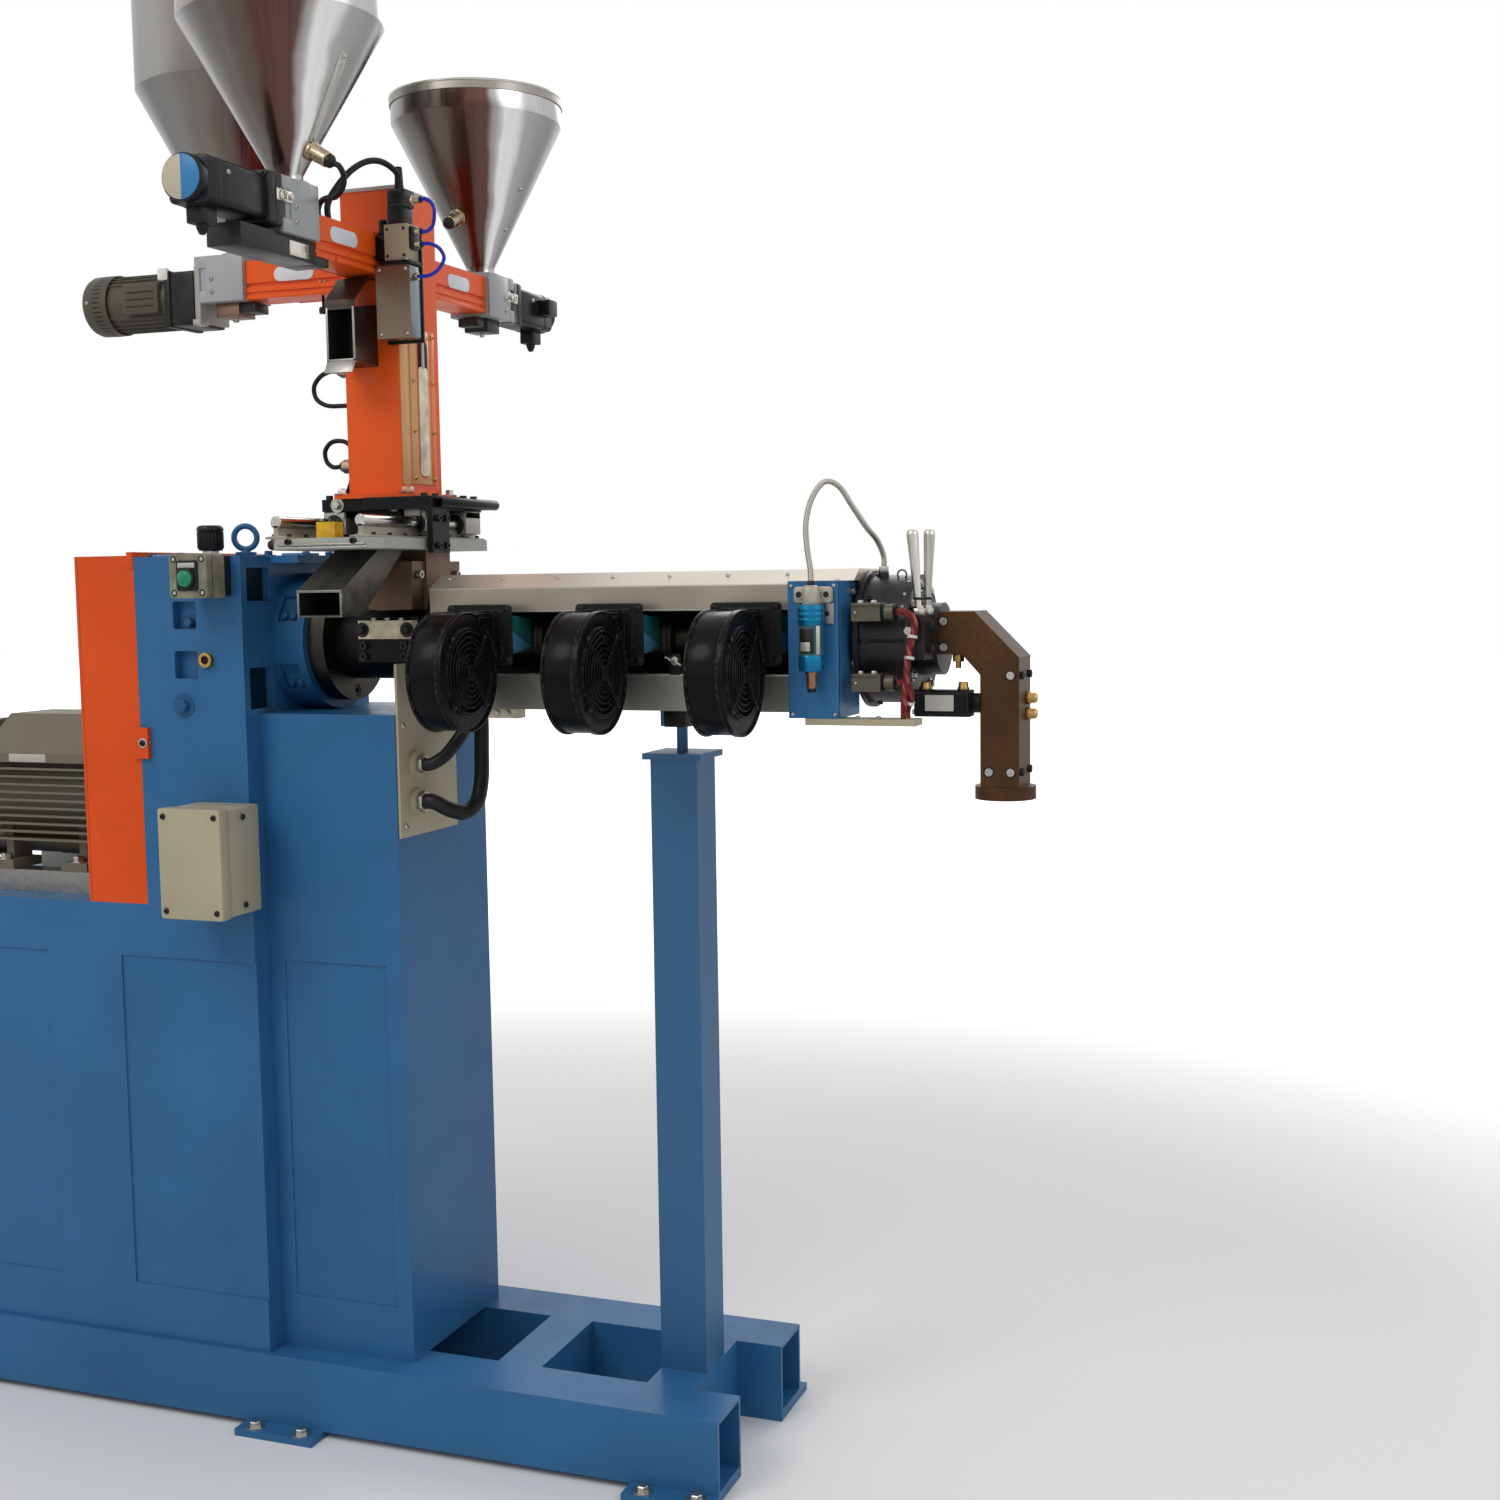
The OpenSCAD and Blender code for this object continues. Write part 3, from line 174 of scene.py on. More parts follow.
def even_steps(points, pitch):
    """The same route with its points a fixed pitch apart."""
    dense = route(points, 24)
    made = [dense[0]]
    for a, b in zip(dense, dense[1:]):
        while (b - made[-1]).length > pitch:
            made.append(made[-1] + (b - made[-1]).normalized() * pitch)
    return made + [dense[-1]]


def tube(name, points, diameter, material, body, rib_pitch=0, rib=0.0):
    """A round lead as a curve; rib_pitch and rib give an armoured lead its rings."""
    curve = bpy.data.curves.new(name, "CURVE")
    curve.dimensions = "3D"
    curve.bevel_depth = diameter / 2000
    curve.bevel_resolution = 3
    curve.use_fill_caps = True
    path = even_steps(points, rib_pitch / 4) if rib_pitch else route(points, 8)
    spline = curve.splines.new("POLY")
    spline.points.add(len(path) - 1)
    for i, (knot, place) in enumerate(zip(spline.points, path)):
        knot.co = (*(place * 0.001), 1)
        knot.radius = 1 - rib * (i % 4 in (0, 3)) if rib_pitch else 1
    curve.materials.append(material)
    made = bpy.data.objects.new(name, curve)
    bpy.context.scene.collection.objects.link(made)
    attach(made, body)
    return made


def shader(name, colour, roughness, **sockets):
    """A plain Principled material, to which the finishes below add their patterns."""
    made = bpy.data.materials.new(name)
    made.use_nodes = True
    principled = made.node_tree.nodes["Principled BSDF"]
    principled.inputs["Base Color"].default_value = (*colour, 1)
    principled.inputs["Roughness"].default_value = roughness
    principled.inputs["Specular IOR Level"].default_value = 0.2
    for socket, value in sockets.items():
        principled.inputs[socket.replace("_", " ")].default_value = value
    return made, made.node_tree, principled


def grain(tree, scale, stretch=(1, 1, 1), detail=3.0, rough=0.55):
    """Noise on the piece's own coordinates, in cycles per metre, stretched along an axis."""
    place = link(tree, "TexCoord")
    turned_to = link(tree, "Mapping", {"Vector": place.outputs["Object"], "Scale": stretch})
    noise = link(
        tree, "TexNoise",
        {"Vector": turned_to.outputs[0], "Scale": scale, "Detail": detail, "Roughness": rough},
    )
    return noise.outputs["Fac"]


def spread(tree, value, low, high, from_low=0.3, from_high=0.7):
    """Maps the middle of a pattern's range to what a socket needs."""
    made = link(
        tree, "MapRange",
        {"Value": value, "From Min": from_low, "From Max": from_high, "To Min": low, "To Max": high},
    )
    return made.outputs["Result"]


def blend_tone(tree, factor, dark, light):
    """A tone between two colours, each given as numbers or as a socket."""
    made = link(tree, "Mix", data_type="RGBA")
    tree.links.new(factor, made.inputs[0])
    for socket, value in ((6, dark), (7, light)):
        if isinstance(value, bpy.types.NodeSocket):
            tree.links.new(value, made.inputs[socket])
        else:
            made.inputs[socket].default_value = (*value, 1)
    return made.outputs[2]


def feed(node, socket, source):
    """Leads a pattern into one of a node's sockets."""
    node.id_data.links.new(source, node.inputs[socket])


def relief(tree, principled, height, strength, depth, edge=0.0):
    """Bump of a real depth in metres, over softened edges of a radius in metres."""
    made = link(tree, "Bump", {"Height": height, "Strength": strength, "Distance": depth})
    if edge:
        soft = link(tree, "Bevel", {"Radius": edge}, samples=4)
        feed(made, "Normal", soft.outputs[0])
    feed(principled, "Normal", made.outputs[0])


def scaled(colour, factor):
    """The same colour made darker or lighter."""
    return tuple(min(1.0, c * factor) for c in colour)


def rubber(name, colour, roughness=0.45):
    """Extruded rubber or PVC: near even colour, with fine lines and a dull bloom."""
    made, tree, principled = shader(name, colour, roughness)
    patches = grain(tree, 40)
    tone = blend_tone(tree, spread(tree, patches, 0, 1), scaled(colour, 0.8), scaled(colour, 1.5))
    feed(principled, "Base Color", tone)
    feed(principled, "Roughness", spread(tree, patches, roughness - 0.08, roughness + 0.12))
    relief(tree, principled, grain(tree, 900), 0.2, 0.0003)
    return made


black_hose = rubber("black_hose", (0.012, 0.012, 0.013), 0.38)
black_lead = rubber("black_lead", (0.01, 0.01, 0.011), 0.42)


def braid(name, colour, thread, pitch, metallic=0.0):
    """A woven sleeve: crossed diagonal waves a few threads wide, with the colour deeper between them."""
    made, tree, principled = shader(name, colour, 0.6, Metallic=metallic)
    place = link(tree, "TexCoord")
    fields = []
    for turn in (0.9, -0.9):
        lay = (turn, 0.3 * turn, 0.5 * turn)
        laid = link(tree, "Mapping", {"Vector": place.outputs["Object"], "Rotation": lay})
        wave = link(tree, "TexWave", {"Vector": laid.outputs[0], "Scale": 0.05 / pitch, "Distortion": 0.6})
        fields.append(wave.outputs["Fac"])
    woven = link(tree, "Math", {0: fields[0], 1: fields[1]}, operation="MULTIPLY").outputs[0]
    feed(principled, "Base Color", blend_tone(tree, woven, scaled(colour, 0.55), thread))
    relief(tree, principled, woven, 0.5, 0.0006)
    return made


red_braid = braid("red_braid", (0.23, 0.02, 0.022), (0.42, 0.10, 0.09), 0.0016)
steel_armour = shader("steel_armour", (0.42, 0.40, 0.36), 0.32, Metallic=0.9)[0]


def stepped(origin, *steps):
    """Route points, each as its step from an origin."""
    return [tuple(o + s for o, s in zip(origin, step)) for step in steps]


port_x, port_y, pedestal_bend = 175.0, -98.0, 62
hose_end = axis_z - 108 - face_gap
low_port, high_port = axis_z - 262, axis_z - 200
lower_hose = tube("lower_hose", stepped(
    (port_x, port_y, low_port),
    (face_gap, 0, 0), (24, 0, 0), (46, 14, -14), (62, 40, -20), (68, 66, -4), (66, 86, 32), (62, 96, 72),
    (62, 98, 112), (pedestal_bend, 98, hose_end - low_port),
), 26, black_hose, "machine")
upper_hose = tube("upper_hose", stepped(
    (port_x, port_y, high_port),
    (face_gap, 0, 0), (20, 0, 0), (38, 12, 12), (48, 32, 32), (58, 46, 54), (62, 50, 72),
    (pedestal_bend, 50, hose_end - high_port),
), 22, black_hose, "machine")

tx_x, tx_y = 876.0, -172.0
tap = Vector((944, -20, axis_z + 102))
from_probe = stepped(
    (tx_x, tx_y, axis_z + 84),
    (0, 0, face_gap), (0, 0, 22), (-6, 3, 56), (-8, 6, 91), (0, 10, 126), (16, 20, 150), (34, 34, 144),
    (48, 54, 116), (60, 90, 84),
)
to_tap = stepped(tap, (-4, -22, 48), (0, 0, 24), (0, 0, face_gap))
capillary = tube("capillary", from_probe + to_tap, 9, steel_armour, "machine", rib_pitch=2.6, rib=0.14)

socket_x, socket_y = 990.3, -120.0
top_socket, low_socket = axis_z + 43, axis_z - 61
rail_top = axis_z - 113
upper_braid = tube("upper_heater_lead", stepped(
    (socket_x, socket_y, top_socket),
    (face_gap, 0, 0), (14, 0, 0), (26, 0, -10), (28, -2, -28), (21, -7, -58), (18, -12, -100),
    (14, -10, rail_top + 20 - top_socket), (14, -10, rail_top - top_socket),
), 10, red_braid, "machine")
lower_braid = tube("lower_heater_lead", stepped(
    (socket_x, socket_y, low_socket),
    (face_gap, 0, 0), (12, 0, 0), (21, 0, -9), (22, 1, -24), (16, 2, rail_top + 12 - low_socket),
    (16, 2, rail_top - low_socket),
), 10, red_braid, "machine")

column_x0, column_z, sensor_out = 38.0, 1574.0, 58
sensor_x = column_x0 - sensor_out
high_sensor, low_sensor = column_z + 211, column_z + 51
high_lead = tube("high_sensor_lead", stepped(
    (sensor_x, 0, high_sensor),
    (-face_gap, 0, 0), (-16, 0, 0), (-34, 0, -8), (-46, 0, -24), (-42, 0, -44), (-22, 0, -56), (8, 0, -58),
    (38, 0, -57), (sensor_out - face_gap, 0, -57),
), 8, black_lead, "dosing_station")
low_lead = tube("low_sensor_lead", stepped(
    (sensor_x, 0, low_sensor),
    (-face_gap, 0, 0), (-14, 0, 0), (-26, 0, 10), (-28, 0, 28), (-14, 0, 42), (10, 0, 42), (28, 0, 30),
    (42, 0, 24), (sensor_out - face_gap, 0, 24),
), 8, black_lead, "dosing_station")

arm_top = column_z + 415
feed_x = 88.0
valve_x, valve_y = 162.0, -88.0
from_arm = stepped(
    (feed_x + 22, -216, arm_top),
    (0, 0, face_gap), (0, 0, 24), (8, 14, 51), (20, 36, 79), (32, 64, 98), (42, 94, 103),
)
to_valve = stepped((valve_x, valve_y, column_z + 478), (0, -9, 29), (0, 0, 15), (0, 0, face_gap))
valve_lead = tube("valve_lead", from_arm + to_valve, 10, black_lead, "dosing_station")
from_hopper = stepped(
    (feed_x + 85, -293, arm_top + 63.7),
    (0, 0, 0), (8, 0, -4.6), (13, 3, -17.7), (5, 12, -32.7), (-17, 27, -41.7), (-39, 39, -39.7),
)
to_arm = stepped((feed_x + 22, -243, arm_top), (7, -2, 22), (0, 0, 12), (0, 0, face_gap))
probe_lead = tube("probe_lead", from_hopper + to_arm, 9, black_lead, "dosing_station")

valve_side = 200.0
port_high, port_mid, port_low, cover_port = 2036, 1986, 1966, 1916
blue_line = rubber("blue_tube", (0.025, 0.035, 0.42), 0.3)
upper_air = tube("upper_air_tube", stepped(
    (valve_side, valve_y, port_high),
    (face_gap, 0, 0), (10, 0, 0), (20, 0, -7), (25, 0, -20), (22, 0, -41), (12, 0, -50), (face_gap, 0, -50),
), 6, blue_line, "dosing_station")
lower_air = tube("lower_air_tube", stepped(
    (valve_side, valve_y, port_low),
    (face_gap, 0, 0), (14, 0, 0), (31, 0, -8), (40, 0, -24), (30, 0, -41), (12, 0, -50), (-8, 0, -50),
    (face_gap - 14, 0, -50),
), 6, blue_line, "dosing_station")

for made, long, wide, kind in [
    (lower_hose, 0.281, 0.026, "stiff"), (upper_hose, 0.141, 0.022, "stiff"),
    (capillary, 0.371, 0.009, "stiff"), (upper_braid, 0.178, 0.010, "medium"),
    (lower_braid, 0.069, 0.010, "medium"), (high_lead, 0.180, 0.008, "medium"),
    (low_lead, 0.145, 0.008, "medium"), (valve_lead, 0.222, 0.010, "medium"),
    (probe_lead, 0.141, 0.009, "medium"), (upper_air, 0.083, 0.006, "medium"),
    (lower_air, 0.118, 0.006, "medium"),
]:
    start = made.data.splines[0].points[0].co.xyz
for hose in (lower_hose, upper_hose):
    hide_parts("panel_hoses")
for lead in (capillary, upper_braid, lower_braid):
    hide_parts("head_leads")
for lead in (high_lead, low_lead, valve_lead, probe_lead):
    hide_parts("column_leads")
for line in (upper_air, lower_air):
    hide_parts("air_tubes")

# Skid, stand and pedestal. They are welded from steel tube and folded sheet and sprayed with a gloss blue
# enamel, painted a little paler along its edges as wear and as a painted highlight. Hex bolts hold the foot
# plates.


def enamel(name, colour, roughness=0.33, peel=0.12, edge=0.0012, dirt=0.25, shine=0.2):
    """Sprayed paint: a slow change of tone, fine orange peel, dust in patches, and paler edges as wear and a
    painted highlight.
    """
    made, tree, principled = shader(
        name, colour, roughness, Coat_Weight=shine / 4, Coat_Roughness=0.1, Specular_IOR_Level=shine,
    )
    cloud = grain(tree, 3.2, detail=5)
    tone = blend_tone(tree, spread(tree, cloud, 0, 1), scaled(colour, 1 - dirt * 0.5), scaled(colour, 1.12))
    near = link(tree, "Bevel", {"Radius": 0.003}, samples=4)
    real = link(tree, "NewGeometry")
    flat = link(tree, "VectorMath", {0: near.outputs[0], 1: real.outputs["Normal"]}, operation="DOT_PRODUCT")
    turned_away = spread(tree, flat.outputs["Value"], 1, 0, 0.82, 0.995)
    broken = spread(tree, grain(tree, 160, detail=4), 0, 1, 0.45, 0.6)
    rim = link(tree, "Math", {0: turned_away, 1: broken}, operation="MULTIPLY")
    # Paler edges: partly wear, partly a painted highlight along the rims.
    edge_wear_and_highlight = tuple(0.7 * c + 0.07 for c in colour)
    feed(principled, "Base Color", blend_tone(tree, rim.outputs[0], tone, edge_wear_and_highlight))
    smears = spread(tree, grain(tree, 14, detail=5), roughness - 0.07, roughness + 0.12)
    feed(principled, "Roughness", smears)
    relief(tree, principled, grain(tree, 420, detail=1.5), peel, 0.0004, edge)
    return made


blue = enamel("blue_enamel", (0.028, 0.130, 0.295))


def dress(material, *nodes):
    """Gives nodes of the frame their finish."""
    for name in nodes:
        mesh = parts[name].data
        mesh.materials.clear()
        mesh.materials.append(material)


dress(blue, "skid_rails", "skid_crossmembers", "drive_stand", "pedestal")


def corners(node):
    """A node's lowest and highest corners in millimetres."""
    lo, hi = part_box(node)
    return lo * 1000, hi * 1000


def soften(form, width, steps=2, angle=30):
    """Rounds every edge that is sharper than the angle."""
    if width:
        sharp = [e for e in form.edges if e.is_manifold and e.calc_face_angle(0) > math.radians(angle)]
        bmesh.ops.bevel(
            form, geom=sharp, offset=width, segments=steps, profile=0.5, affect="EDGES", material=-1,
            clamp_overlap=True,
        )
    return form


def block(lo, hi, edge=1.2, steps=2):
    """A cut or cast block between any two opposite corners."""
    lo, hi = Vector(map(min, lo, hi)), Vector(map(max, lo, hi))
    form = bmesh.new()
    bmesh.ops.create_cube(form, size=1)
    bmesh.ops.scale(form, vec=hi - lo, verts=form.verts)
    bmesh.ops.translate(form, vec=(lo + hi) / 2, verts=form.verts)
    return soften(form, edge, steps)


def rounded(lo, hi, along, radius, edge=0.8):
    """A block whose four edges along one axis are rounded to a radius, and its rims to a smaller one."""
    form = block(lo, hi, 0)
    run = [e for e in form.edges if abs((e.verts[0].co - e.verts[1].co)[along]) > 0.01]
    bmesh.ops.bevel(form, geom=run, offset=radius, segments=5, profile=0.5, affect="EDGES", material=-1)
    return soften(form, edge, 2, 40)


def turned(profile, edge=0.0, sides=48, angle=30):
    """A turned piece about Z, from its profile of radius and height."""
    form = bmesh.new()
    knots = [form.verts.new((radius, 0, height)) for radius, height in profile]
    lines = [form.edges.new(pair) for pair in zip(knots, knots[1:])]
    bmesh.ops.spin(form, geom=knots + lines, axis=(0, 0, 1), angle=2 * math.pi, steps=sides, use_merge=True)
    bmesh.ops.remove_doubles(form, verts=form.verts, dist=0.001)
    bmesh.ops.recalc_face_normals(form, faces=form.faces)
    return soften(form, edge, 2, angle)


def ring(inner, outer, low, high, edge=0.4, sides=48):
    """A collar, washer or band about Z."""
    form = turned([(inner, low), (outer, low), (outer, high), (inner, high), (inner, low)], 0, sides)
    return soften(form, edge)


def thicken(form, depth):
    """Draws flat faces up along Z."""
    side = bmesh.ops.extrude_face_region(form, geom=form.faces[:])["geom"]
    top = [v for v in side if isinstance(v, bmesh.types.BMVert)]
    bmesh.ops.translate(form, vec=(0, 0, depth), verts=top)
    bmesh.ops.recalc_face_normals(form, faces=form.faces)


def drawn(outline, depth, edge=0.0, steps=2):
    """A flat outline in X and Y, drawn up along Z."""
    form = bmesh.new()
    form.faces.new([form.verts.new((x, y, 0)) for x, y in outline])
    thicken(form, depth)
    return soften(form, edge, steps, 20)


def lift(height):
    """A move along Z."""
    return Matrix.Translation((0, 0, height))


def aim(place, axis="z", spin=0.0):
    """Where a form made along Z goes, and which way its Z then points: a named axis or a direction."""
    turns = {
        "x": (90, "Y"), "-x": (-90, "Y"), "y": (-90, "X"), "-y": (90, "X"), "z": (0, "X"), "-z": (180, "X"),
    }
    if isinstance(axis, str):
        turn = spun(*turns[axis])
    else:
        turn = Vector(axis).to_track_quat("Z", "Y").to_matrix().to_4x4()
    return Matrix.Translation(place) @ turn @ spun(spin)


def grid(xs, ys, zs, axis="z"):
    """Places at every crossing of the coordinates, each of them one number or several."""
    spans = [span if isinstance(span, (tuple, range)) else (span,) for span in (xs, ys, zs)]
    return [aim((x, y, z), axis) for x in spans[0] for y in spans[1] for z in spans[2]]


class Piece:
    """One piece of the machine, gathered from forms in millimetres."""

    def __init__(self, name):
        self.name = name
        self.finishes = []
        self.form = bmesh.new()

    def add(self, form, finish, *places):
        """Adds a form in one finish, once at each place, or just where it was made."""
        if finish not in self.finishes:
            self.finishes.append(finish)
        for face in form.faces:
            face.material_index = self.finishes.index(finish)
        mesh = bpy.data.meshes.new("form")
        form.to_mesh(mesh)
        form.free()
        for place in places or (Matrix.Identity(4),):
            copy = mesh.copy()
            copy.transform(place)
            self.form.from_mesh(copy)
            bpy.data.meshes.remove(copy)
        bpy.data.meshes.remove(mesh)
        return self

    def fix(self, body, slot, *nodes):
        """Finishes the mesh in metres and fixes it to its body."""
        mesh = bpy.data.meshes.new(self.name)
        self.form.to_mesh(mesh)
        self.form.free()
        mesh.transform(Matrix.Scale(0.001, 4))
        for finish in self.finishes:
            mesh.materials.append(finish)
        mesh.shade_smooth()
        mesh.set_sharp_from_angle(angle=math.radians(38))
        made = bpy.data.objects.new(self.name, mesh)
        bpy.context.scene.collection.objects.link(made)
        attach(made, body)
        if nodes:
            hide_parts(*nodes)
        return made


def joined(form, other):
    """Takes a second form into the first."""
    mesh = bpy.data.meshes.new("form")
    other.to_mesh(mesh)
    other.free()
    form.from_mesh(mesh)
    bpy.data.meshes.remove(mesh)
    return form


def hex_bolt(across, height):
    """A hex head on its washer."""
    thick, corner = 1.6, across * 0.577
    head = [(0, height), (across * 0.48, height), (corner, height * 0.82), (corner, 0), (0, 0)]
    form = turned(head, 0, 6)
    bmesh.ops.translate(form, vec=(0, 0, thick), verts=form.verts)
    return joined(form, turned([(0, thick), (across * 0.95, thick), (across * 0.95, 0), (0, 0)], 0, 20))


def socket_screw(head, height):
    """A cylinder head screw with its hex socket."""
    form = bmesh.new()
    rim = bmesh.ops.create_circle(form, radius=head / 2, segments=18)["verts"]
    key = bmesh.ops.create_circle(form, radius=head * 0.29, segments=6)["verts"]
    bmesh.ops.translate(form, vec=(0, 0, height), verts=form.verts)
    rim_edges = list({e for v in rim for e in v.link_edges})
    key_edges = list({e for v in key for e in v.link_edges})
    bmesh.ops.bridge_loops(form, edges=rim_edges + key_edges)
    for edges, drop, cap in ((rim_edges, height, False), (key_edges, height * 0.55, True)):
        side = bmesh.ops.extrude_edge_only(form, edges=edges)["geom"]
        low = [v for v in side if isinstance(v, bmesh.types.BMVert)]
        bmesh.ops.translate(form, vec=(0, 0, -drop), verts=low)
        if cap:
            bmesh.ops.contextual_create(form, geom=[e for e in side if isinstance(e, bmesh.types.BMEdge)])
    bmesh.ops.recalc_face_normals(form, faces=form.faces)
    return form


def metal(name, colour, roughness, stretch=(1, 1, 1), scale=90, contrast=0.25, metallic=1.0, depth=0.00015):
    """Bare metal: drawn or ground lines along one axis, with the shine broken up a little."""
    made, tree, principled = shader(name, colour, roughness, Metallic=metallic)
    lines = grain(tree, scale, stretch, 4, 0.65)
    dark, light = scaled(colour, 1 - contrast), scaled(colour, 1 + contrast * 0.6)
    tone = blend_tone(tree, spread(tree, lines, 0, 1), dark, light)
    dulled = spread(tree, grain(tree, 7, detail=4), 0, 0.35)
    feed(principled, "Base Color", blend_tone(tree, dulled, tone, scaled(colour, 0.72)))
    feed(principled, "Roughness", spread(tree, lines, roughness - 0.06, roughness + 0.14))
    relief(tree, principled, lines, 0.35, depth, 0.0008)
    return made


zinc = metal("zinc_screws", (0.50, 0.48, 0.44), 0.3, scale=120)
black_oxide = metal("black_oxide", (0.035, 0.033, 0.032), 0.36, scale=200, metallic=0.7)

skid_lo, skid_hi = corners("skid_rails")
foot_t, foot_y = 12.0, 218
foot_x = (skid_lo.x + 75, (skid_lo.x + skid_hi.x) / 2, skid_hi.x - 75)
bolt_x = tuple(x + dx for x in foot_x for dx in (-45, 45))
foot_bolts = grid(bolt_x, (-foot_y, foot_y), foot_t)
Piece("foot_bolts").add(hex_bolt(17, 9), zinc, *foot_bolts).fix("machine", "grey_steel")

# Panel on the pedestal's end. It is a cream folded sheet held by four button head screws, and carries two
# hose ports with threaded steel collars. Each hose ends in a crimped ferrule.
cream = enamel("cream_enamel", (0.45, 0.40, 0.275), 0.4, dirt=0.3)
dress(cream, "side_panel", "cable_rail")


def button_screw(head, height):
    """A domed head screw with its hex socket."""
    socket = [(0, height * 0.35), (head * 0.2, height * 0.35), (head * 0.22, height)]
    dome = [(head * 0.36, height * 0.86), (head * 0.5, height * 0.3), (head * 0.5, 0), (0, 0)]
    return turned(socket + dome, 0, 16)


panel_face = 165.0
panel_screws = grid(panel_face, (-132, 22), (1030, 1195), "x")
Piece("panel_screws").add(button_screw(11, 4), zinc, *panel_screws).fix("machine", "grey_steel")
ferrules = Piece("hose_ferrules")
for z, wide in ((low_port, 26), (high_port, 22)):
    bore = wide / 2 + 0.2
    nut = turned([(bore, 0), (wide * 0.7, 0), (wide * 0.7, 9), (bore, 9), (bore, 0)], 0.5, 6)
    ferrules.add(nut, zinc, aim((port_x + 0.2, port_y, z), "x"))
for y, wide in ((0, 26), (port_y + 50, 22)):
    crimp = ring(wide / 2 + 0.2, wide / 2 + 2.6, 0, 17)
    ferrules.add(crimp, zinc, aim((port_x + pedestal_bend, y, hose_end - 18)))
ferrules.fix("machine", "grey_steel")

# Motor on its rails. The cast body is ribbed along both sides and sprayed olive grey, a pressed cowl closes
# the fan end, and a bare plate is riveted on the side. Four hex bolts hold its feet.
olive = enamel("olive_enamel", (0.155, 0.140, 0.103), 0.45, dirt=0.4)
machined = metal("machined_steel", (0.34, 0.33, 0.31), 0.34, contrast=0.2)
pale_plate = metal("bare_plate", (0.50, 0.49, 0.45), 0.4, (1, 1, 1), 300, 0.08, metallic=0.6)
dress(machined, "motor_rails")
dress(olive, "drive_motor")
motor_z, guard_x, motor_x = 1060.0, -425.0, -825.0
foot_z, plate_side = 944.0, -131.6
motor_parts = Piece("motor_fittings")
feet = grid((guard_x - 80, guard_x - 240), (-118, 118), foot_z)
motor_parts.add(hex_bolt(17, 9), zinc, *feet)
plate_x, plate_z = guard_x - 210, motor_z + 61
bare = rounded((plate_x, plate_side - 1.2, plate_z), (plate_x + 80, plate_side, plate_z + 14), 1, 2, 0.2)
motor_parts.add(bare, pale_plate)
cowl_at = aim((motor_x, 0, motor_z), "-x")
for k in range(7):
    motor_parts.add(ring(22 + 13 * k, 26 + 13 * k, 0, 3, 0.6), black_oxide, cowl_at)
for turn in range(0, 180, 30):
    motor_parts.add(block((-104, -2.5, 0), (104, 2.5, 2), 0.4, 1), black_oxide, cowl_at @ spun(turn))
motor_parts.add(ring(104, 128, 0, 3, 1), olive, cowl_at)
motor_parts.add(turned([(0, 6), (15, 6), (19, 3), (19, 0), (0, 0)], 0.5), olive, cowl_at)
motor_parts.add(ring(128, 129.4, 0, 7, 0.4, 64), olive, aim((motor_x + 73, 0, motor_z), "x"))


def about_x(x, z, radius, degrees):
    """A place on a circle about a line along X, and the way out from it."""
    out = Vector((0, math.cos(math.radians(degrees)), math.sin(math.radians(degrees))))
    return Vector((x, 0, z)) + out * radius, out


cowl_screws = [aim(*about_x(motor_x + 66, motor_z, 128, t)) for t in (40, 140, 220, 320)]
motor_parts.add(button_screw(9, 3.5), zinc, *cowl_screws)
motor_parts.fix("machine", "motor_paint")


def wire_ring(radius, thick, sides=56, around=8):
    """A ring of round wire about Z."""
    form = bmesh.new()
    rim = bmesh.ops.create_circle(form, radius=thick / 2, segments=around)["verts"]
    bmesh.ops.rotate(form, verts=rim, matrix=Matrix.Rotation(math.pi / 2, 3, "X"))
    bmesh.ops.translate(form, verts=rim, vec=(radius, 0, 0))
    whole = form.verts[:] + form.edges[:]
    bmesh.ops.spin(form, geom=whole, axis=(0, 0, 1), angle=2 * math.pi, steps=sides, use_merge=True)
    bmesh.ops.remove_doubles(form, verts=form.verts, dist=0.01)
    bmesh.ops.recalc_face_normals(form, faces=form.faces)
    return form


def eye_bolt(radius, wire, base):
    """A forged lifting eye with its collar."""
    neck = [(0, 12), (wire * 0.72, 12), (wire * 0.8, 8)]
    foot = [(base / 2 - 1, 8), (base / 2, 7), (base / 2, 0), (0, 0)]
    form = turned(neck + foot, 0.6, 32)
    loop = wire_ring(radius, wire, 40, 14)
    bmesh.ops.rotate(loop, verts=loop.verts, matrix=Matrix.Rotation(math.pi / 2, 3, "X"))
    bmesh.ops.translate(loop, verts=loop.verts, vec=(0, 0, 8 + radius + wire / 2))
    return joined(form, loop)


gear_top = 1475.0
eyes = Piece("lifting_eye_bolts")
eyes.add(eye_bolt(17, 9, 40), black_oxide, aim((guard_x - 120, 0, motor_z + 141), "z", 20))
eyes.add(eye_bolt(19.5, 10, 36), blue, aim((-177, -55, gear_top), "z", 20))
eyes.fix("machine", "blue_paint", "lifting_eyes")

# Belt guard between motor and gearbox. It is a welded sheet box sprayed orange, with a flat bar along its
# top on the gearbox side, a lug with a hole for its fixing screw, and vents in the blind side.
guard_orange = enamel("guard_orange", (0.68, 0.074, 0.007), 0.3, dirt=0.15)
dress(guard_orange, "belt_guard")
gear_x, gear_half = -305.0, 190.0
guard_parts = Piece("guard_fittings")
top_bar = block((gear_x - 13, -gear_half - 1.5, 1455), (gear_x - 1, gear_half, gear_top + 9), 1)
guard_parts.add(top_bar, guard_orange)
knobs = grid(guard_x, (-174, 174), (940, 1363), "-x")
guard_parts.add(button_screw(16, 8), black_oxide, *knobs)
lug_at = aim((gear_x + 10, -gear_half - 8, 1165), "-y")
guard_parts.add(ring(4.6, 8.5, 0, 1), zinc, lug_at)
guard_parts.add(button_screw(11, 4), black_oxide, lug_at @ lift(1))
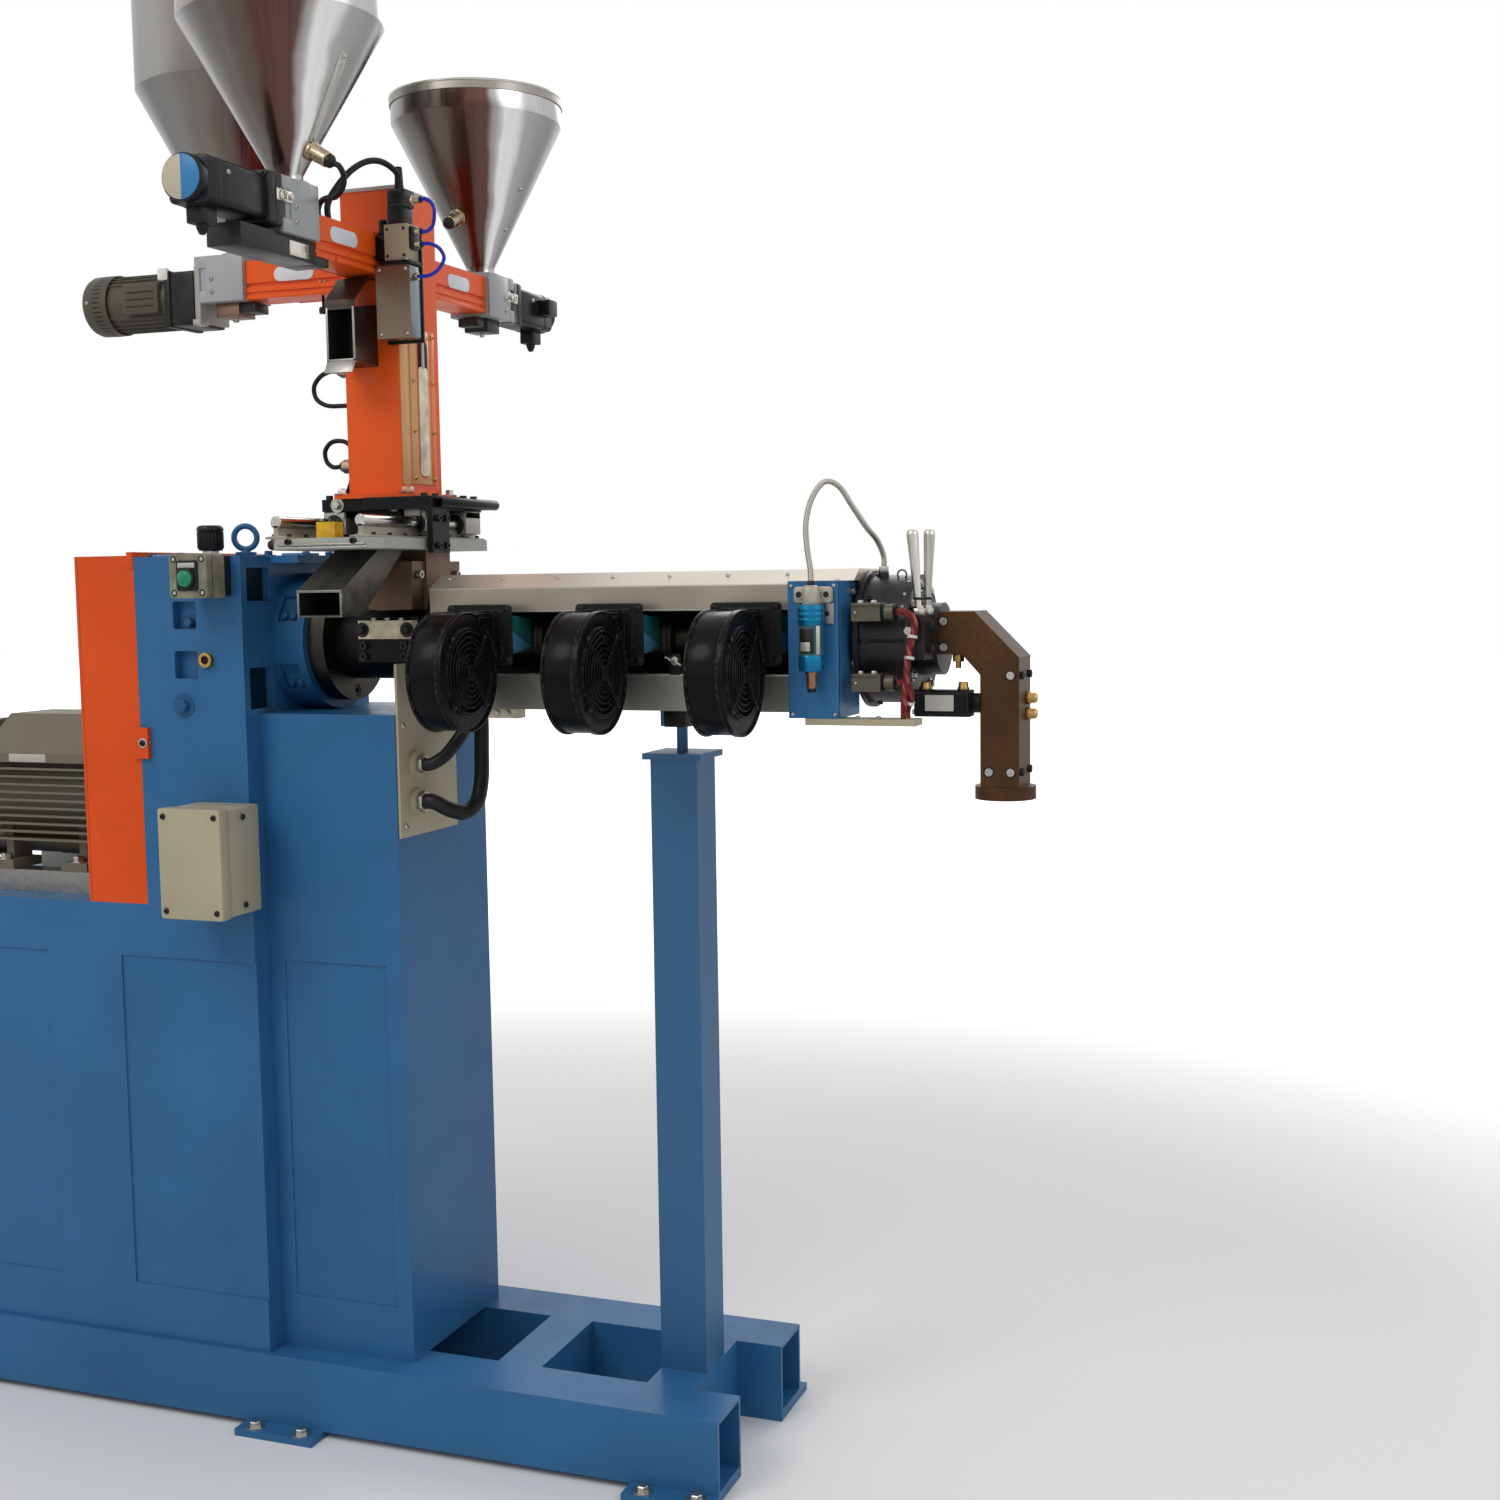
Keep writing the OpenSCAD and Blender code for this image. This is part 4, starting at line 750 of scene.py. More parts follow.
for z in range(1010, 1208, 22):
    vent = block((guard_x + 30, gear_half - 1, z), (gear_x - 30, gear_half + 4, z + 11), 2, 2)
    guard_parts.add(vent, guard_orange)
seam = block((guard_x + 4, -gear_half - 1, 893), (guard_x + 5.4, -gear_half + 1, gear_top - 1), 0.3, 1)
guard_parts.add(seam, guard_orange)
guard_parts.fix("machine", "orange_paint")

# Gearbox. The casting has machined pockets on its front and a rim of hex bolts on top, and is sprayed with
# the same blue. A brass plug, two hex plugs, the ribbed breather and a bare name plate are fitted to it.
bright_blue = enamel("neck_enamel", (0.018, 0.100, 0.235), 0.3, dirt=0.3)
pale_blue = enamel("pale_blue", (0.12, 0.28, 0.46), 0.3, dirt=0.1, peel=0.03)
brass = metal("brass", (0.52, 0.33, 0.11), 0.3, scale=220, contrast=0.2)
dress(blue, "gearbox_housing")
gear_parts = Piece("gearbox_plugs")
plug_at = aim((-164, -gear_half, 1304), "-y")
gear_parts.add(ring(7, 12.5, 0, 10, 0.8, 40), brass, plug_at)
gear_parts.add(turned([(0, 0.5), (12.2, 0.5), (12.2, 3), (0, 3)], 0), black_oxide, plug_at)
boss = turned([(0, 4), (15.6, 4), (16.2, 3), (16.2, 0), (0, 0)], 0.5, 40)
gear_parts.add(boss, blue, plug_at @ lift(-3.2))
gear_parts.add(hex_bolt(21, 10.4), bright_blue, aim((-215, -gear_half, 1228), "-y"))
gear_parts.add(hex_bolt(15, 10), bright_blue, aim((-207, -gear_half + 18, 1366), "-y"))
gear_parts.add(button_screw(15, 6), black_oxide, aim((-286, -gear_half + 26, gear_top)))
rim_bolts = grid((-290, -112), (-84, 28, 100, 172), gear_top)
gear_parts.add(hex_bolt(13, 7), bright_blue, *rim_bolts)
gear_parts.add(rounded((-279, -175, gear_top), (-243, -130, gear_top + 4), 2, 3, 0.5), pale_blue)
plate_rivets = grid((-274, -248), (-170, -135), gear_top + 4)
gear_parts.add(button_screw(5, 2), black_oxide, *plate_rivets)
gear_parts.fix("machine", "brass", "gearbox_fittings")

rubber_black = rubber("black_moulding", (0.014, 0.014, 0.015), 0.32)
breather = Piece("breather")
breather_at = aim((-201, -120, gear_top))
breather.add(turned([(0, 10), (15, 10), (15, 0), (0, 0)], 0.6, 6), zinc, breather_at)
dome = [(0, 52), (17, 52), (20.5, 50), (22, 47), (22, 43)]
breather.add(turned(dome + [(20.4, 41.5), (20.4, 13), (19, 10), (0, 10)], 0.5), rubber_black, breather_at)
for turn in range(0, 360, 15):
    rib = block((20, -1.1, 14), (21.8, 1.1, 41), 0.4, 1)
    breather.add(rib, rubber_black, breather_at @ spun(turn))
breather.fix("machine", "black_plastic", "breather_cap")

# Start station on the gearbox front. It is a grey moulded box with its lid on four countersunk corner
# screws, a black spacer behind it, and one green push button in a black bezel with a bare legend plate.
box_grey = rubber("grey_moulding", (0.19, 0.185, 0.135), 0.5)
green = rubber("green_button", (0.02, 0.22, 0.12), 0.28)
box_x, box_z, box_face = -145.0, 1442.0, -260.0
station = Piece("start_station")
station.add(block((box_x - 32, -212, box_z - 33), (box_x + 32, -190, box_z + 33), 1), rubber_black)
station.add(rounded((box_x - 36, -243, box_z - 36), (box_x + 36, -212, box_z + 36), 1, 6, 1), box_grey)
gasket = rounded((box_x - 35, -244.5, box_z - 35), (box_x + 35, -243, box_z + 35), 1, 5, 0.2)
station.add(gasket, rubber_black)
station.add(rounded((box_x - 36, -260, box_z - 36), (box_x + 36, -244.5, box_z + 36), 1, 6, 1.6), box_grey)
lid_corners = grid((box_x - 27, box_x + 27), box_face, (box_z - 27, box_z + 27), "-y")
station.add(ring(3.2, 5.4, 0, 0.7, 0.2, 20), rubber_black, *lid_corners)
station.add(turned([(0, 0.5), (3.1, 0.5), (3.1, 0), (0, 0)], 0, 16), zinc, *lid_corners)
bezel = rounded((box_x - 20, box_face - 3.5, box_z - 24), (box_x + 20, box_face, box_z + 25), 1, 4, 0.8)
station.add(bezel, rubber_black)
lo, hi = (box_x - 16, box_face - 4.4, box_z + 13), (box_x + 16, box_face - 3.5, box_z + 21)
legend = rounded(lo, hi, 1, 1.5, 0.2)
station.add(legend, pale_plate)
station.fix("machine", "grey_plastic", "push_button_box")
button = Piece("push_button")
button_at = aim((box_x, box_face - 3.5, box_z - 4), "-y")
button.add(ring(13.6, 17, 0, 4.6, 1, 48), rubber_black, button_at)
mushroom = [(0, 11.2), (6, 10.9), (10.5, 9.8), (13, 7.6), (13.5, 5), (13.5, 0), (0, 0)]
button.add(turned(mushroom, 0.3), green, button_at)
button.fix("machine", "green_plastic", "start_button")

# Junction box low on the gearbox front. It is a cream painted steel box with a folded lid on four screws,
# and a cable gland in its left side that is closed with a blind plug.
box_lo, box_hi = Vector((-195, -298, 890)), corners("junction_box")[1]
junction = Piece("wiring_box")
junction.add(rounded(box_lo + Vector((2, 27, 2)), (box_hi.x - 2, -190, box_hi.z - 2), 1, 4, 1), cream)
gasket = rounded(box_lo + Vector((3, 25, 3)), (box_hi.x - 3, -271, box_hi.z - 3), 1, 4, 0.2)
junction.add(gasket, rubber_black)
junction.add(rounded(box_lo, (box_hi.x, -273, box_hi.z), 1, 5, 2), cream)
lid_screws = grid((-184, -87), box_lo.y, (903, 1057), "-y")
side_screws = grid(-76, -236, (1052, 908), "x")
junction.add(button_screw(10, 3.6), black_oxide, *lid_screws, *side_screws)
gland_at = aim((-193, -250, 1020), "-x")
for low, high, wide, sides in ((0, 5, 17, 6), (5, 14, 15, 24)):
    nut = turned([(0, high), (wide - 1, high), (wide, high - 1), (wide, low), (0, low)], 0.3, sides)
    junction.add(nut, rubber_black, gland_at)
blind = turned([(0, 19), (7, 19), (9, 17), (9, 14), (0, 14)], 0.4, 24)
junction.add(blind, zinc, gland_at)
junction.fix("machine", "cream_paint", "junction_box")

# Thrust housing and neck flange. The blue cast neck has windows where the flange bolts are reached, and a
# heat browned steel flange is bolted to it with socket screws in counterbores.
tinted = metal("tinted_steel", (0.060, 0.052, 0.042), 0.4, scale=60, contrast=0.3)
dress(bright_blue, "thrust_housing")
dress(tinted, "neck_flange")
painted_shadow_blue = enamel("painted_shadow_blue", (0.004, 0.016, 0.040), 0.5, dirt=0.3)
neck_parts = Piece("neck_screws")
for turn in range(30, 390, 60):
    window = lift(axis_z) @ Matrix.Rotation(math.radians(turn - 90), 4, "X")
    neck_parts.add(block((-81.3, -24.3, 99), (-43.7, 24.3, 107), 0), bright_blue, window)
    bolts = [window @ Matrix.Translation((x, -14, 107)) for x in (-71, -54)]
    neck_parts.add(hex_bolt(12, 7), bright_blue, *bolts)
# Dark blue sheets in the gearbox's side pockets are painted shadow for openings deep in shade.
for low, high in ((1400, 1455), (1220, 1290)):
    neck_parts.add(block((-109.3, -173.7, low + 0.3), (-108.3, -110.3, high - 0.3), 0), painted_shadow_blue)
screw_ring = [aim(about_x(-10, axis_z, 86, t)[0], "x") for t in range(30, 390, 60)]
neck_parts.add(socket_screw(18, 9), black_oxide, *screw_ring)
neck_parts.fix("machine", "grey_steel")

# Feed housing and throat. The water jacketed housing is sprayed black and carries a cream ceramic terminal
# bar between two bolts. The steel throat block above it is sawn to a sloping section; its reddish clouds are
# a painted reflection.
satin_black = enamel("satin_black", (0.006, 0.006, 0.0062), 0.34, dirt=0.1, shine=0.12)
ceramic = rubber("cream_ceramic", (0.56, 0.50, 0.36), 0.35)
dress(satin_black, "feed_housing")
dress(ceramic, "ceramic_terminals")


def browned(name, colour, warm, roughness, scale=5.0):
    """Steel with straw and brown clouds over grinding lines: temper colours on the hot adapter, a painted
    warm reflection on the throat and spout.
    """
    made, tree, principled = shader(name, colour, roughness, Metallic=0.75)
    cloud = grain(tree, scale, (1, 1, 0.6), 5, 0.6)
    lines = grain(tree, 260, (1, 0.15, 1), 3)
    base = blend_tone(tree, spread(tree, cloud, 0, 1, 0.35, 0.65), colour, warm)
    feed(principled, "Base Color", blend_tone(tree, spread(tree, lines, 0, 0.4), base, scaled(colour, 0.55)))
    feed(principled, "Roughness", spread(tree, cloud, roughness - 0.05, roughness + 0.15))
    relief(tree, principled, lines, 0.3, 0.0002, 0.0012)
    return made


# The throat's reddish clouds are a painted reflection on brown-grey steel.
throat_steel = browned("throat_steel", (0.165, 0.128, 0.096), (0.200, 0.110, 0.075), 0.42, 6)
dress(throat_steel, "feed_throat")
feed_parts = Piece("feed_bolts")
feed_side = -95
feed_parts.add(hex_bolt(13, 8), black_oxide, *grid((72, 156), feed_side, 1350, "-y"))
side_screws = grid((76, 152), feed_side, (1306, 1324), "-y")
feed_parts.add(socket_screw(13, 7), black_oxide, *side_screws)
ring_bolts = [aim(about_x(170, axis_z, 58, t)[0], "-x") for t in (35, 145, 215, 325)]
feed_parts.add(hex_bolt(14, 9), black_oxide, *ring_bolts)
studs = grid((280, 300, 320), -62, 1213, "-y")
studs += grid((88, 114, 140), -85, 1365)
feed_parts.add(turned([(0, 5), (4, 5), (5, 3.5), (5, 0), (0, 0)], 0.3, 20), zinc, *studs)
feed_parts.add(socket_screw(13, 8), zinc, *grid(160.5, (-62, 62), 1440, "x"))
feed_parts.fix("machine", "dark_steel")

# Slide plate with its rails and stop. The plate is sprayed light grey and has a bright ground band along
# its front. The ground round rails sit on black supports with socket screws, and a yellow block is the stop.
light_grey = enamel("light_grey_enamel", (0.37, 0.37, 0.34), 0.32, dirt=0.2)
polished = metal("ground_rail", (0.50, 0.485, 0.455), 0.14, (1, 0.1, 1), 60, 0.2)
yellow = rubber("yellow_urethane", (0.62, 0.36, 0.03), 0.25)
dress(light_grey, "slide_plate")
dress(yellow, "slide_stop")
plate_top, rail_z = 1498.0, 1524.0
rail_at = (11, 165)
support_alloy = metal("support_alloy", (0.33, 0.31, 0.255), 0.42, (60, 1, 60), 30, 0.2, metallic=0.6)
rails = Piece("round_rails")
rail_long, rail_y = 370, -242
bar = [(0, rail_long), (8.6, rail_long), (10, rail_long - 1.4), (10, 1.4), (8.6, 0), (0, 0)]
rails.add(turned(bar, 0, 48), polished, *[aim((x, rail_y, rail_z), "y") for x in rail_at])
half_foot = [(20, 0), (20, 3), (5, 5), (4, 8), (4, 18), (7, 21)]
support = drawn(half_foot + [(-x, z) for x, z in reversed(half_foot)], rail_long, 0.5)
rails.add(support, support_alloy, *[aim((x, rail_y + rail_long, plate_top), "-y") for x in rail_at])
rails.fix("machine", "rail_steel", "slide_rails")
slide_parts = Piece("slide_fittings")
for x in rail_at:
    foot_screws = grid((x - 14, x + 14), range(-226, 128, 48), plate_top + 3.5)
    slide_parts.add(socket_screw(7, 4.5), black_oxide, *foot_screws)
slide_parts.add(block((18, -251.4, 1481.5), (180, -249.4, 1485), 0.5), polished)
slide_parts.add(block((20, -254, 1485.5), (178, -249.6, 1489.5), 1.2), machined)
slide_parts.add(socket_screw(10, 6), black_oxide, *grid((40, 158), -250, 1492.5, "-y"))
knob = [(0, 30), (7, 29), (9, 24), (8, 8), (5, 0), (0, 0)]
slide_parts.add(turned(knob, 0.4, 24), black_oxide, aim((-3, -196, 1490), "-x"))
slide_parts.add(socket_screw(9, 5), black_oxide, *grid((62, 76), -177, 1525))
slide_parts.add(block((-100, -64, 1475), (-58, -14, 1479.6), 0.8), pale_blue)
slide_parts.fix("machine", "grey_steel")

# Barrel and covers. Band heaters sit on the steel barrel under two folded covers of brushed stainless steel.
# The upper cover's sloping top is painted bright as lit, both covers' sides are painted dark as shade, and
# the upper one is screwed along its edge. The lower one closes with a wing nut.


def lit_crown_sheet(name, shaded_side_tone, lit_crown_tone, fold, roughness=0.36):
    """Brushed sheet painted lit above a height and painted shaded on its folded sides below, with clouds of
    handling marks.
    """
    made, tree, principled = shader(name, lit_crown_tone, roughness, Metallic=0.85)
    place = link(tree, "TexCoord")
    at = link(tree, "SeparateXYZ", {0: place.outputs["Object"]})
    # Painted light: above the fold the lit crown tone, below it the shaded side tone.
    above = spread(tree, at.outputs["Z"], 0, 1, fold - 0.002, fold + 0.002)
    low_cloud = spread(tree, grain(tree, 4, (1, 1, 0.6), 2), 0, 1)
    side = blend_tone(tree, low_cloud, shaded_side_tone, scaled(shaded_side_tone, 1.5))
    high_cloud = spread(tree, grain(tree, 3, (1, 1, 1), 2), 0, 1)
    lit_crown = blend_tone(tree, high_cloud, lit_crown_tone, scaled(lit_crown_tone, 0.82))
    lines = grain(tree, 260, (0.02, 1, 1), 2)
    both = blend_tone(tree, above, side, lit_crown)
    feed(principled, "Base Color", blend_tone(tree, spread(tree, lines, 0, 0.05), both, shaded_side_tone))
    feed(principled, "Roughness", spread(tree, lines, roughness, roughness + 0.04))
    return made


# Both covers get painted bright crowns and painted dark sides as light and shade.
cover_sheet = lit_crown_sheet("cover_sheet", (0.27, 0.24, 0.195), (0.80, 0.745, 0.645), 1.4157)
lower_sheet = lit_crown_sheet("lower_cover_sheet", (0.235, 0.225, 0.205), (0.55, 0.52, 0.47), 1.2772)
band_steel = metal("band_steel", (0.060, 0.056, 0.052), 0.4, (90, 1, 1), 60, 0.4)
dress(cover_sheet, "upper_cover")
dress(lower_sheet, "lower_cover")
dress(tinted, "barrel")
dress(band_steel, "heater_bands")
cover_x0 = 203.0
cover_parts = Piece("cover_fittings")
cover_screws = grid(range(240, 905, 160), 100, 1300, "y")
for side in (-1, 1):
    cover_screws += grid(range(226, 905, 97), side * 76, 1430.8, (0, side * 0.5, 0.86))
cover_parts.add(button_screw(6, 2), zinc, *cover_screws)
cover_parts.add(block((cover_x0 + 4, -100.9, 1377), (829, -99.6, 1379.4), 0.3, 1), machined)
cover_parts.add(block((cover_x0 + 3, -101, 1276.4), (829, -98.6, 1279.6), 0.5), machined)
wing = aim((631, -100, 1300), "-y")
cover_parts.add(turned([(0, 5), (6, 5), (7, 3), (7, 0), (0, 0)], 0.4, 24), zinc, wing)
for x in (-16, 2):
    cover_parts.add(rounded((x, -1.6, 3), (x + 14, 1.6, 13), 1, 3.5, 0.6), zinc, wing @ spun(-24))
cover_parts.add(rounded((621, -102, 1278), (641, -98, 1310), 1, 4, 0.8), satin_black)
cover_parts.add(block((606, -92, 1196), (642, -30, 1222), 2), satin_black)
zone_x = (310.0, 535.0, 760.0)
band_joints = [aim((x + dx, 0, axis_z), "x") for x in zone_x for dx in (-56, 56)]
cover_parts.add(ring(55, 56.6, -5, 5, 0.3, 48), band_steel, *band_joints)
cover_parts.fix("machine", "grey_steel")

# Blowers on their ducts, one to each zone. A black pressed scroll with folded rims is riveted to a mounting
# plate, and a wire guard on four arms covers the inlet. The sheet ducts behind are sprayed teal.
teal = enamel("teal_enamel", (0.014, 0.135, 0.138), 0.38, dirt=0.5)
duct_blue = enamel("duct_blue", (0.055, 0.20, 0.36), 0.35, dirt=0.2)
dress(teal, "blower_ducts")
blower_black = enamel("blower_black", (0.004, 0.0036, 0.0036), 0.27, 0.02, 0.001, 0.1, shine=0.09)
# Flat black for painted shade: the depth of the blower inlets and the empty column in the sight slot.
painted_shade_black = shader("painted_shade_black", (0.004, 0.004, 0.004), 0.7)[0]
wire = metal("guard_wire", (0.022, 0.021, 0.020), 0.3, scale=200, metallic=0.8)


def scroll(radius, outlet):
    """The scroll's outline: three quarters of a circle that runs out straight at the top."""
    turn = [math.radians(90 + 286 * k / 40) for k in range(41)]
    round_part = [(-radius * math.sin(a), radius * math.cos(a)) for a in turn]
    return [(-radius, outlet)] + round_part + [(-26, outlet)]


def holed(outline, radius, depth, edge=0.6):
    """A flat plate of an outline with a round hole at its middle."""
    form = bmesh.new()
    knots = [form.verts.new((x, y, 0)) for x, y in outline]
    rim = [form.edges.new((a, b)) for a, b in zip(knots, knots[1:] + knots[:1])]
    bmesh.ops.create_circle(form, radius=radius, segments=48)
    hole = [e for e in form.edges if e not in rim]
    bmesh.ops.bridge_loops(form, edges=rim + hole)
    thicken(form, depth)
    return soften(form, edge, 2, 50)


def rod(start, end, diameter, sides=12, edge=0.0):
    """A straight round bar between two points."""
    along = Vector(end) - Vector(start)
    r, long = diameter / 2, along.length
    form = turned([(0, long), (r, long), (r, 0), (0, 0)], edge, sides)
    bmesh.ops.transform(form, matrix=aim(start, along), verts=form.verts)
    return form


blower_y, blower_z, half_w, outlet = -225.0, 1287.0, 29.0, 90.6
for k, x in enumerate(zone_x):
    fan = Piece(f"blower_{k + 1}")
    here = aim((x, blower_y, blower_z), "x")
    fan.add(drawn(scroll(90.5, outlet), 2 * half_w - 12, 0.8), blower_black, here @ lift(-half_w + 3))
    fan.add(drawn(scroll(93, outlet), 3.5, 1.2), blower_black, here @ lift(-half_w))
    fan.add(drawn(scroll(93, outlet), 2.5, 1.0), blower_black, here @ lift(half_w - 9))
    fan.add(holed(scroll(90, outlet), 65, 6), satin_black, here @ lift(half_w - 8))
    fan.add(ring(89.6, 93, half_w - 8, half_w + 1, 1.2, 72), blower_black, here)
    fan.add(ring(63.5, 69, half_w - 6, half_w + 1.5, 1.6, 56), blower_black, here)
    # The inlet's back disc is painted shade, darker than the blower's paint.
    fan.add(turned([(0, 3), (64, 3), (64, 0), (0, 0)], 0, 48), painted_shade_black, here @ lift(half_w - 12))
    fan.add(turned([(0, 7), (22, 7), (27, 4), (28, 0), (0, 0)], 0.6), satin_black, here @ lift(half_w - 9))
    for turn in range(0, 360, 12):
        blade = block((52, -0.8, 0), (62, 0.8, 5), 0)
        fan.add(blade, satin_black, here @ lift(half_w - 9) @ spun(turn))
    motor_cap = turned([(0, 7), (30, 7), (40, 4), (42, 0), (0, 0)], 0.8)
    fan.add(motor_cap, satin_black, aim((x - half_w, blower_y, blower_z), "-x"))
    side_x = x + half_w
    lap = rounded((side_x - 1, -190, blower_z + 66), (side_x + 0.6, -150, blower_z + 84), 0, 3, 0.5)
    fan.add(lap, blower_black)
    fan.add(rounded((x - 57, -134, 1294), (x + 57, -130, 1390), 1, 7, 1), satin_black)
    fan.add(rounded((x - 40, -137, 1303), (x + 40, -134, 1381), 1, 4, 0.8), blower_black)
    corner_at = grid((x - 49, x + 49), -134, (1302, 1382), "-y")
    fan.add(button_screw(9, 3.4), black_oxide, *corner_at)
    fan.add(turned([(0, 0.8), (7, 0.8), (7, 0), (0, 0)], 0, 20), satin_black, *corner_at)
    fan.fix("machine", "black_plastic", *(["blowers"] if k == 0 else []))
    guard = Piece(f"blower_guard_{k + 1}")
    for n in range(7):
        guard.add(wire_ring(63 - 8.6 * n, 2.2), wire, here @ lift(half_w + 2.2 + 0.35 * n))
    for turn in (45, 135, 225, 315):
        arm = here @ spun(turn) @ lift(half_w + 4.4)
        for side in (-2.2, 2.2):
            guard.add(rod((8, side, 0), (70, side, -2.6), 2.4, 8), wire, arm)
        rivet = turned([(0, 3), (3, 2.6), (4.6, 1), (4.6, 0), (0, 0)], 0, 16)
        guard.add(rivet, black_oxide, arm @ Matrix.Translation((73, 0, -3)))
    guard.add(turned([(0, 2), (9, 1.6), (10, 0), (0, 0)], 0, 24), wire, here @ lift(half_w + 4))
    guard.fix("machine", "black_plastic", *(["blower_grilles"] if k == 0 else []))
duct_folds = Piece("duct_folds")
for x in zone_x:
    fold = drawn([(0, 0), (-38, 0), (-11, 70)], 1, 0.2)
    duct_folds.add(fold, duct_blue, aim((x + 52, -129, 1311), "x"))
duct_folds.fix("machine", "teal_duct")

# Terminal box and pressure transmitter at the barrel's end. The blue sheet box has a lid with socket screws,
# and the transmitter hangs on it in a cream clamp: anodised caps, a bare label window and a copper sleeve.
box_blue = enamel("box_blue", (0.030, 0.150, 0.335), 0.3, dirt=0.2)
dress(box_blue, "terminal_box")
cap_blue = metal("cap_blue", (0.012, 0.19, 0.38), 0.25, (1, 1, 20), 80, 0.15, metallic=0.7)
tube_teal = enamel("tube_teal", (0.030, 0.105, 0.13), 0.35, dirt=0.2, peel=0.04)
copper = metal("copper", (0.36, 0.19, 0.12), 0.35, scale=150)
clamp_cream = metal("cast_clamp", (0.46, 0.43, 0.37), 0.42, scale=140, contrast=0.15, metallic=0.4)
term_x0, term_x1, term_y = 832.0, 910.0, -150.0
term_parts = Piece("terminal_box_fittings")
seal = rounded((term_x0 - 0.4, term_y + 5, 1216.6), (term_x1 + 0.4, term_y + 7, 1420.4), 1, 2, 0.1)
term_parts.add(seal, satin_black)
for z in (1296, 1404):
    at = aim((term_x1, -77, z), "x")
    term_parts.add(ring(6.2, 8.2, 0, 0.8, 0.2, 24), satin_black, at)
    term_parts.add(socket_screw(12, 5), zinc, at)
term_parts.add(rounded((885, term_y - 3, 1357), (905, term_y, 1388), 1, 1.5, 0.4), machined)
term_parts.add(socket_screw(7, 2), black_oxide, aim((895, term_y - 3, 1372), "-y"))
term_parts.add(button_screw(6, 2), zinc, *grid((838, 904), term_y, (1223, 1413), "-y"))
term_parts.add(button_screw(8, 3), zinc, *grid(908, (-140, -60), 1420))
term_parts.fix("machine", "blue_paint")


def curved_strip(outer, start, end, step, height, edge, inner=16):
    """A strip bent round an upright tube, between two angles from its front."""
    turns = [math.radians(t) for t in range(start, end, step)]
    outline = [(outer * math.sin(a), -outer * math.cos(a)) for a in turns]
    outline += [(inner * math.sin(a), -inner * math.cos(a)) for a in reversed(turns)]
    return drawn(outline, height, edge)


transmitter = Piece("transmitter")
upright = aim((tx_x, tx_y, 0))
transmitter.add(rounded((846, -162, 1388), (904, -150, 1412), 1, 5, 1.4), clamp_cream)
boss = [(0, 1414), (8, 1414), (12, 1411), (13, 1407), (13, 1386), (0, 1386)]
transmitter.add(turned(boss, 0.5), clamp_cream, upright)
transmitter.add(rounded((863, -174, 1386.4), (889, -150, 1410), 2, 3, 1), clamp_cream)
clamp_screws = grid((854.5, 896.5), -162, 1400, "-y")
transmitter.add(ring(4.6, 6.6, 0, 2, 0.5, 24), clamp_cream, *clamp_screws)
transmitter.add(socket_screw(9, 1.5), black_oxide, *clamp_screws)
for low, high in ((1288, 1312), (1355, 1386)):
    cap = [(0, high), (17.5, high), (19, high - 2), (19, low + 2), (17.5, low), (0, low)]
    transmitter.add(turned(cap, 0.4), cap_blue, upright)
transmitter.add(turned([(0, 1356), (17.8, 1356), (17.8, 1311), (0, 1311)], 0), tube_teal, upright)
for k in range(3):
    groove = 1360.5 + 8 * k
    transmitter.add(ring(18.6, 19.5, groove, groove + 5, 0.5), cap_blue, upright)
transmitter.add(curved_strip(18.2, -48, 36, 6, 36, 0.2), black_oxide, upright @ lift(1315))
transmitter.add(curved_strip(18.5, -42, 18, 6, 13, 0.1), pale_plate, upright @ lift(1318))
transmitter.add(curved_strip(18.7, 42, 66, 4, 42, 0.2), pale_plate, upright @ lift(1313))
sleeve = [(0, 1288), (9, 1288), (9, 1284), (7.8, 1282), (8, 1266), (6.5, 1263), (0, 1263)]
transmitter.add(turned(sleeve, 0.4), copper, upright)
plug = [(0, 1264), (6, 1264), (6.6, 1262), (6.6, 1259), (5, 1257), (0, 1257)]
transmitter.add(turned(plug, 0.4), rubber_black, upright)
nut = [(0, 1421), (5.2, 1421), (6.5, 1419), (6.5, 1413), (0, 1413)]
transmitter.add(turned(nut, 0.3, 6), black_oxide, upright)
transmitter.fix("machine", "blue_alloy", "pressure_transmitter")
rail_screws = grid((930, 962), -118, 1216.7)
Piece("cable_rail_screws").add(button_screw(8, 3), zinc, *rail_screws).fix("machine", "grey_steel")

# Head with its clamp. The turned drum is dark oiled steel with a bolted lip and grub screws along its top.
# Two bright handles tighten the clamp, and two grey terminal boxes feed the band heater round the drum.
# White ties hold the leads in front of it.
head_steel = metal("head_steel", (0.040, 0.037, 0.037), 0.38, (1, 1, 1), 40, 0.35, metallic=0.8)
terminal_grey = metal("terminal_grey", (0.115, 0.105, 0.078), 0.4, scale=120, contrast=0.2, metallic=0.6)
bright_steel = metal("bright_steel", (0.66, 0.63, 0.57), 0.2, (1, 1, 0.1), 120, 0.15)
dress(head_steel, "head_flange")
dress(bright_steel, "clamp_handles")
dress(terminal_grey, "heater_terminals")
head_parts = Piece("head_fittings")
round_head = range(20, 361, 40)
head_parts.add(socket_screw(9, 4), black_oxide, *[aim(*about_x(936, axis_z, 97.5, t)) for t in round_head])
head_parts.add(hex_bolt(10, 5), zinc, *[aim(about_x(1000, axis_z, 82, t)[0], "x") for t in round_head])
for y, z in ((-44, 1417), (-70, 1398), (30, 1423), (-84, 1380)):
    head_parts.add(button_screw(6, 2.5), zinc, aim((990, y, z), (0, y, z - axis_z)))
head_parts.add(wire_ring(7, 2.6, 24), black_oxide, aim((975, -28, 1428), "y", 30))
